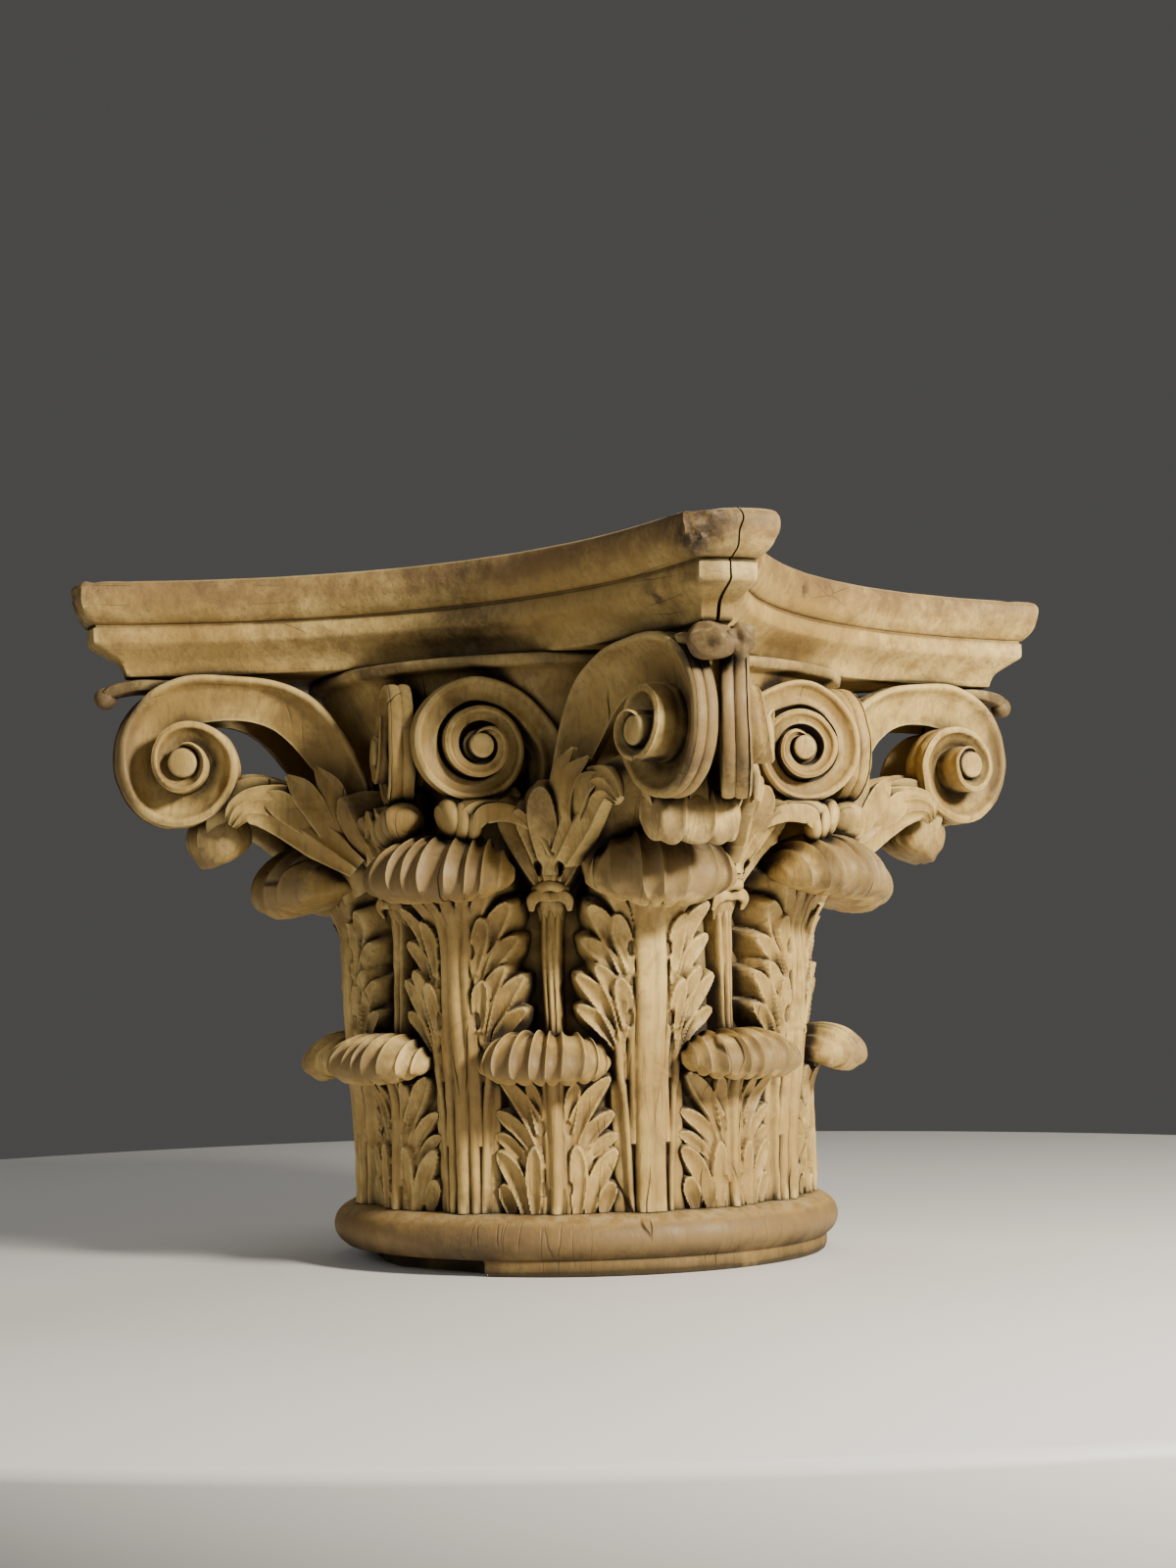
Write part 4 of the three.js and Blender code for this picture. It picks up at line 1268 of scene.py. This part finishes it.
# %% Colours
CREAM = (0.72, 0.51, 0.18)
HONEY = (0.385, 0.242, 0.068)
UMBER = (0.185, 0.108, 0.036)
BARE_WOOD = (0.20, 0.127, 0.053)
CRUST = (0.060, 0.038, 0.022)
# The next colour is a painted highlight for sharp ridges.
PAINTED_EDGE_HIGHLIGHT = (0.80, 0.62, 0.26)
# The next colour is near-black. It darkens the cracks and paints shade into the cuts.
CRACK_AND_SHADE_DARK = (0.022, 0.013, 0.006)
DUST = (0.58, 0.46, 0.26)
print("the wash runs from", CREAM, "through", HONEY, "to", UMBER)

# %% [markdown]
# ## Gloss and relief
# Old wash is duller where dirt lies on it. Here the mask of grime and painted shade in the cuts makes it
# duller, and pits, grain and cracks break its surface. A bump built from the masks of the colour makes a
# crack sunk as well as dark. Cutting such fine marks as mesh would need many times the faces.

# %% Gloss and relief
def gloss_and_relief(tree, shader, where, mottle, shade_and_grime, grain, lines):
    """Makes the cuts under the grime and painted-shade mask duller than clean wash, and raises a bump from
    mottle, pits, grain and cracks.
    """
    rough = ramp(tree, mottle, 0.3, 0.7, 0.46, 0.66)
    rough = math_node(tree, "ADD", rough, math_node(tree, "MULTIPLY", shade_and_grime, 0.2), clamp=True)
    tree.links.new(rough, shader.inputs["Roughness"])
    shader.inputs["Specular IOR Level"].default_value = 0.35
    pits = noise(tree, where, 520.0, 3.0, 0.6)
    relief = math_node(tree, "MULTIPLY_ADD", mottle, 0.5, math_node(tree, "MULTIPLY", pits, 0.25))
    relief = math_node(tree, "ADD", relief, math_node(tree, "MULTIPLY", grain, 0.35))
    relief = math_node(tree, "SUBTRACT", relief, math_node(tree, "MULTIPLY", lines, 1.6))
    bump = node(tree, "ShaderNodeBump")
    bump.inputs["Strength"].default_value = 0.8
    bump.inputs["Distance"].default_value = 0.0009
    tree.links.new(relief, bump.inputs["Height"])
    tree.links.new(bump.outputs["Normal"], shader.inputs["Normal"])


print("made", gloss_and_relief.__name__)

# %% [markdown]
# ## The whole recipe
# Each layer of colour is mixed over the one before it by a mask, in the order in which it came to the wood,
# and painted shade and painted highlights are mixed in among the layers.
# Nothing is painted by hand, so the same recipe serves all three woods with other colours and shares.

# %% Worn wash material
def worn_wash(name, cream, honey, bare, shade_and_grime_share, dust_share, bare_share, crack_share,
              along=(1.0, 1.0, 0.12)):
    """The whole finish. The shares say how much grime and painted shade, dust, bare wood and cracking this
    wood has.
    """
    material = bpy.data.materials.new(name)
    material.use_nodes = True
    tree = material.node_tree
    shader = tree.nodes["Principled BSDF"]
    where = node(tree, "ShaderNodeTexCoord").outputs["Object"]
    rub = node(tree, "ShaderNodeAttribute", attribute_name="rub")
    stain = node(tree, "ShaderNodeAttribute", attribute_name="stain")
    edge = node(tree, "ShaderNodeNewGeometry").outputs["Pointiness"]
    dirt_wear_and_shade = node(tree, "ShaderNodeGroup", node_tree=SHADE_GRIME_RUB)
    tree.links.new(where, dirt_wear_and_shade.inputs["Position"])
    tree.links.new(rub.outputs["Fac"], dirt_wear_and_shade.inputs["Rub"])
    cracks = node(tree, "ShaderNodeGroup", node_tree=CRACKS)
    tree.links.new(where, cracks.inputs["Position"])
    cracks.inputs["Along"].default_value = along
    tone = noise(tree, where, 9.0, 4.0, 0.6, 0.5)
    mottle = noise(tree, where, 75.0, 5.0, 0.65)
    colour = mix_colour(tree, ramp(tree, tone, 0.32, 0.68), cream, honey)
    colour = mix_colour(tree, ramp(tree, mottle, 0.38, 0.66, 0.0, 0.75), colour, honey)
    blotch = noise(tree, where, 33.0, 6.0, 0.7, 0.8)
    colour = mix_colour(tree, ramp(tree, blotch, 0.48, 0.7, 0.0, 0.6), colour, UMBER)
    colour = mix_colour(tree, ramp(tree, cracks.outputs["Grain"], 0.46, 0.72, 0.0, 0.5), colour, bare)
    # Pointiness: concave creases get painted shade in umber, and convex ridges get a painted highlight.
    colour = mix_colour(tree, ramp(tree, edge, 0.49, 0.44, 0.0, 0.6), colour, UMBER)
    colour = mix_colour(tree, ramp(tree, edge, 0.515, 0.57, 0.0, 0.42), colour, PAINTED_EDGE_HIGHLIGHT)
    bare_mask = math_node(tree, "MULTIPLY", dirt_wear_and_shade.outputs["Bare"], bare_share)
    colour = mix_colour(tree, bare_mask, colour, bare)
    patchy = ramp(tree, blotch, 0.3, 0.6, 0.35, 1.0)
    crust = math_node(tree, "MULTIPLY", stain.outputs["Fac"], patchy, clamp=True)
    speckled = ramp(tree, noise(tree, where, 260.0, 5.0, 0.7), 0.32, 0.55, 0.4, 1.0)
    crust = math_node(tree, "MULTIPLY", crust, speckled)
    colour = mix_colour(tree, crust, colour, CRUST)
    # Closed-in points are darkened towards near-black: painted shade in the cuts as well as grime.
    shade_and_grime = math_node(tree, "MULTIPLY", dirt_wear_and_shade.outputs["Shade_and_grime"], shade_and_grime_share, clamp=True)
    colour = mix_colour(tree, shade_and_grime, colour, CRACK_AND_SHADE_DARK)
    dust = math_node(tree, "MULTIPLY", dirt_wear_and_shade.outputs["Dust"], dust_share)
    colour = mix_colour(tree, dust, colour, DUST)
    lines = math_node(tree, "MAXIMUM", cracks.outputs["Crack"],
                      math_node(tree, "MULTIPLY", cracks.outputs["Crackle"], 0.2))
    lines = math_node(tree, "MULTIPLY", lines, math_node(tree, "SUBTRACT", 1.0, dirt_wear_and_shade.outputs["Upward"]))
    lines = math_node(tree, "MULTIPLY", lines, crack_share)
    colour = mix_colour(tree, lines, colour, CRACK_AND_SHADE_DARK)
    tree.links.new(colour, shader.inputs["Base Color"])
    gloss_and_relief(tree, shader, where, mottle, shade_and_grime, cracks.outputs["Grain"], lines)
    return material


carved_wood = worn_wash("carved_wash", CREAM, HONEY, BARE_WOOD, 1.0, 0.32, 0.72, 1.0)
print("material", carved_wood.name, "has", len(carved_wood.node_tree.nodes), "nodes")

# %% [markdown]
# ## The other woods
# The slab has its grain lying flat and fewer cracks. The ring has lost most of its cream and is browner.

# %% The slab's and the ring's wood
slab_wood = worn_wash("slab_wash", CREAM, HONEY, (0.235, 0.135, 0.055), 0.9, 0.3, 0.8, 0.35, (1.0, 1.0, 2.5))
ring_wood = worn_wash("ring_wash", (0.43, 0.275, 0.085), (0.27, 0.163, 0.048), BARE_WOOD, 0.9, 0.4, 0.75, 1.0)
print("materials", slab_wood.name, ring_wood.name)

# %% [markdown]
# ## Where it is rubbed and stained
# Wear has its places: the curled tips, the rims of the volutes, the upper edge of the slab. Two numbers
# stored at each point say how rubbed and how stained it is. Painting them would need an image, and a rule
# by radius, height and distance from a spot does not.

# %% Rules for rubbing and stains
def mark(piece, rub, stain):
    """Stores how rubbed and how stained each point is. A rule gets the points, their radius and height."""
    points = np.zeros(len(piece.data.vertices) * 3, np.float32)
    piece.data.vertices.foreach_get("co", points)
    points = points.reshape(-1, 3) / MM
    radius = np.linalg.norm(points[:, :2], axis=1)
    for name, rule in (("rub", rub), ("stain", stain)):
        attribute = piece.data.attributes.new(name, "FLOAT", "POINT")
        attribute.data.foreach_set("value", np.asarray(rule(points, radius, points[:, 2]), np.float32))


def near_to(points, centre, size):
    """A soft patch round a point."""
    return np.exp(-(((points - np.array(centre)) / size) ** 2).sum(1))


print("a soft patch is worth", near_to(np.zeros((1, 3)), (0, 0, 1), 1).round(2), "one size from its middle")

# %% [markdown]
# ## Rules for slab and scrolls
# The slab and the scrolls have stains of their own, so their rules are written out. A rule gets all points
# at once and gives back one number for each.

# %% Rules for the slab and the scrolls
def clean(points, radius, height):
    """No stain at all."""
    return 0 * radius


def slab_rub(points, radius, height):
    """The ovolo is rubbed and the flat top is not. No hand reaches it."""
    return 0.6 * smooth(ABACUS_FOOT + 24, ABACUS_FOOT + 36, height) - 0.35 * (height > ABACUS_TOP - 0.15)


def slab_stain(points, radius, height):
    """Dark patches on the knocked front corner and on the end of the left corner, a faint band along the
    ovolo, a smudge under it and the nail holes.
    """
    front = near_to(points, (166, -192, 328), 17) * 1.3
    # This darkens the end of the left corner.
    left = near_to(points, (-188, -182, 326), 18) * 2.2
    band = 0.4 * smooth(ABACUS_FOOT + 32, ABACUS_FOOT + 42, height) * (0.6 + 0.4 * ripple(points, 40, 31))
    band = band * (height < ABACUS_TOP - 0.15)
    smudge = 0.8 * near_to(points, (15, -128, 300), 26)
    spots = sum(2.2 * near_to(points, hole, 3.4) for hole in (NAIL_HOLE, (132, -161, 302), (128, -160, 309)))
    return np.clip(front + left + band + smudge + spots, 0, 1)


def scroll_rub(points, radius, height):
    """The volutes' outer rims are rubbed, and the tip of the leaf below them."""
    return smooth(218, 236, radius) + 0.6 * smooth(176, 192, radius) * (1 - smooth(212, 222, height))


def scroll_stain(points, radius, height):
    """The front volutes are darker along their lower rims, and the buds have gone dark."""
    low_rim = smooth(200, 222, radius) * (1 - smooth(228, 240, height)) * smooth(212, 222, height)
    bud = 0.7 * smooth(268, 276, height) * smooth(216, 226, radius)
    return np.clip(0.75 * low_rim * (points[:, 0] > 0) * (points[:, 1] < 0) + bud, 0, 1)


corner_point = spot(EIGHTH, 230, 325).reshape(1, 3)
print("stain near the front corner of the slab", slab_stain(corner_point, 230, 325).round(2))

# %% [markdown]
# ## Rub and stain every piece
# Each piece gets its two rules. The short ones are written in place.

# %% Rub and stain every piece
mark(lower_leaves, lambda p, r, z: 0.9 * smooth(130, 144, r) * smooth(86, 96, z), clean)
mark(upper_leaves, lambda p, r, z: smooth(140, 164, r) * smooth(168, 180, z),
     lambda p, r, z: 0.9 * near_to(p, spot(EIGHTH, 152, 205, 4), (13, 13, 9)))
mark(bell_and_stalks, lambda p, r, z: 0.45 * smooth(134, 136, r),
     lambda p, r, z: 0.6 * smooth(133, 136, r) * (0.5 + 0.5 * ripple(p, 30, 32)))
mark(corner_scrolls, scroll_rub, scroll_stain)
mark(face_scrolls, lambda p, r, z: 0.4 * smooth(152, 165, r), clean)
mark(abacus, slab_rub, slab_stain)
mark(ring, lambda p, r, z: 0.7 * smooth(122, 128, r),
     lambda p, r, z: 0.7 * near_to(p, (18, -127, 17), (30, 12, 6)))
print("the foot ring carries", *(a.name for a in ring.data.attributes if a.name in ("rub", "stain")))

# %% [markdown]
# ## Join the frame
# Each mesh gets its finish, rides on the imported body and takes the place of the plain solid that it
# refines.

# %% Finish and place each piece
for piece, slot, material, replaced in (
        (lower_leaves, "carved_wood", carved_wood, "carved_bell"),
        (upper_leaves, "carved_wood", carved_wood, "carved_bell"),
        (bell_and_stalks, "carved_wood", carved_wood, "carved_bell"),
        (corner_scrolls, "carved_wood", carved_wood, "carved_bell"),
        (face_scrolls, "carved_wood", carved_wood, "carved_bell"),
        (abacus, "abacus_wood", slab_wood, "abacus"),
        (ring, "ring_wood", ring_wood, "astragal_ring")):
    piece.data.materials.clear()
    piece.data.materials.append(material)
    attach(piece, "root")
    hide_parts(replaced)
    print(piece.name, "replaces", replaced)

# %% [markdown]
# ## Stage
# The capital stands on a plain pale round table. A flat plane would do as a floor, but its horizon would be
# straight, and a round edge close by says how big the capital is.

# %% Floor
VIEW_AZIMUTH = math.radians(29.5)
table_edge = np.linspace(0, 2 * math.pi, 180, endpoint=False)
TABLE_MIDDLE = -186  # behind the axis, as the camera sees it
TABLE_PROFILE = ((752, 0), (755.5, -1.5), (757, -5), (757, -110), (740, -112))
table_rings = [spot(VIEW_AZIMUTH, TABLE_MIDDLE, height) + radius * np.stack(
    [np.cos(table_edge), np.sin(table_edge), 0 * table_edge], -1) for radius, height in TABLE_PROFILE]
floor = make_piece("table_top", [skin(np.array(table_rings))])
pale = bpy.data.materials.new("pale_floor")
pale.use_nodes = True
pale.node_tree.nodes["Principled BSDF"].inputs["Base Color"].default_value = (0.80, 0.79, 0.76, 1)
pale.node_tree.nodes["Principled BSDF"].inputs["Roughness"].default_value = 0.5
floor.data.materials.append(pale)
print("the floor has", len(floor.data.polygons), "faces")

# %% [markdown]
# ## Lights
# Carving is read by its shadows. One lamp from the right and a little above makes them, and a weak fill
# and a weak lamp behind keep the dark side open. Area lamps give the soft edges that a window would.

# %% Lights
def area_light(name, azimuth, elevation, distance, size, power, colour, target=(0, 0, 0.17)):
    """A soft lamp, placed by its azimuth to the right of the camera."""
    turn = VIEW_AZIMUTH + math.radians(azimuth)
    rise = math.radians(elevation)
    lamp = bpy.data.lights.new(name, "AREA")
    lamp.shape = "DISK"
    lamp.size = size
    lamp.energy = power
    lamp.color = colour
    holder = bpy.data.objects.new(name, lamp)
    flat = distance * math.cos(rise)
    holder.location = (flat * math.sin(turn), -flat * math.cos(turn), distance * math.sin(rise) + target[2])
    aim = Vector(target) - holder.location
    holder.rotation_euler = aim.to_track_quat("-Z", "Y").to_euler()
    bpy.context.scene.collection.objects.link(holder)


area_light("key", 45, 24, 1.6, 0.28, 52, (1.0, 0.94, 0.82))
area_light("fill", -50, 24, 1.9, 1.0, 5, (0.97, 0.98, 1.0))
area_light("top", 165, 58, 1.6, 0.7, 6, (1.0, 0.97, 0.92))

world = bpy.data.worlds.new("studio")
world.use_nodes = True
world.node_tree.nodes["Background"].inputs["Color"].default_value = (0.074, 0.073, 0.071, 1)
world.node_tree.nodes["Background"].inputs["Strength"].default_value = 1.0
bpy.context.scene.world = world

# %% [markdown]
# ## Camera
# The camera stands a little below the middle of the capital and looks slightly up at one corner. Its
# direction is built from pitch, yaw and roll, so that each can be read and changed on its own.

# %% Camera
CAMERA_DISTANCE = 1.29469
CAMERA_HEIGHT = 0.13875
PITCH, YAW, ROLL = math.radians(4.4), math.radians(0.24), math.radians(-1.19)
lens = bpy.data.cameras.new("camera")
lens.sensor_fit = "AUTO"
lens.sensor_width = 36
lens.lens = 57.49
camera = bpy.data.objects.new("camera", lens)
turn_to_view = Matrix.Rotation(VIEW_AZIMUTH, 3, "Z")
level_share = math.cos(PITCH)
ahead = turn_to_view @ Vector((math.sin(YAW) * level_share, math.cos(YAW) * level_share, math.sin(PITCH)))
level = turn_to_view @ Vector((math.cos(YAW), -math.sin(YAW), 0))
above = level.cross(ahead)
right = level * math.cos(ROLL) + above * math.sin(ROLL)
up = -level * math.sin(ROLL) + above * math.cos(ROLL)
place = Matrix((right, up, -ahead)).transposed().to_4x4()
place.translation = turn_to_view @ Vector((0, -CAMERA_DISTANCE, CAMERA_HEIGHT))
camera.matrix_world = place
bpy.context.scene.collection.objects.link(camera)
bpy.context.scene.camera = camera
print("the camera stands at", np.round(place.translation, 3))
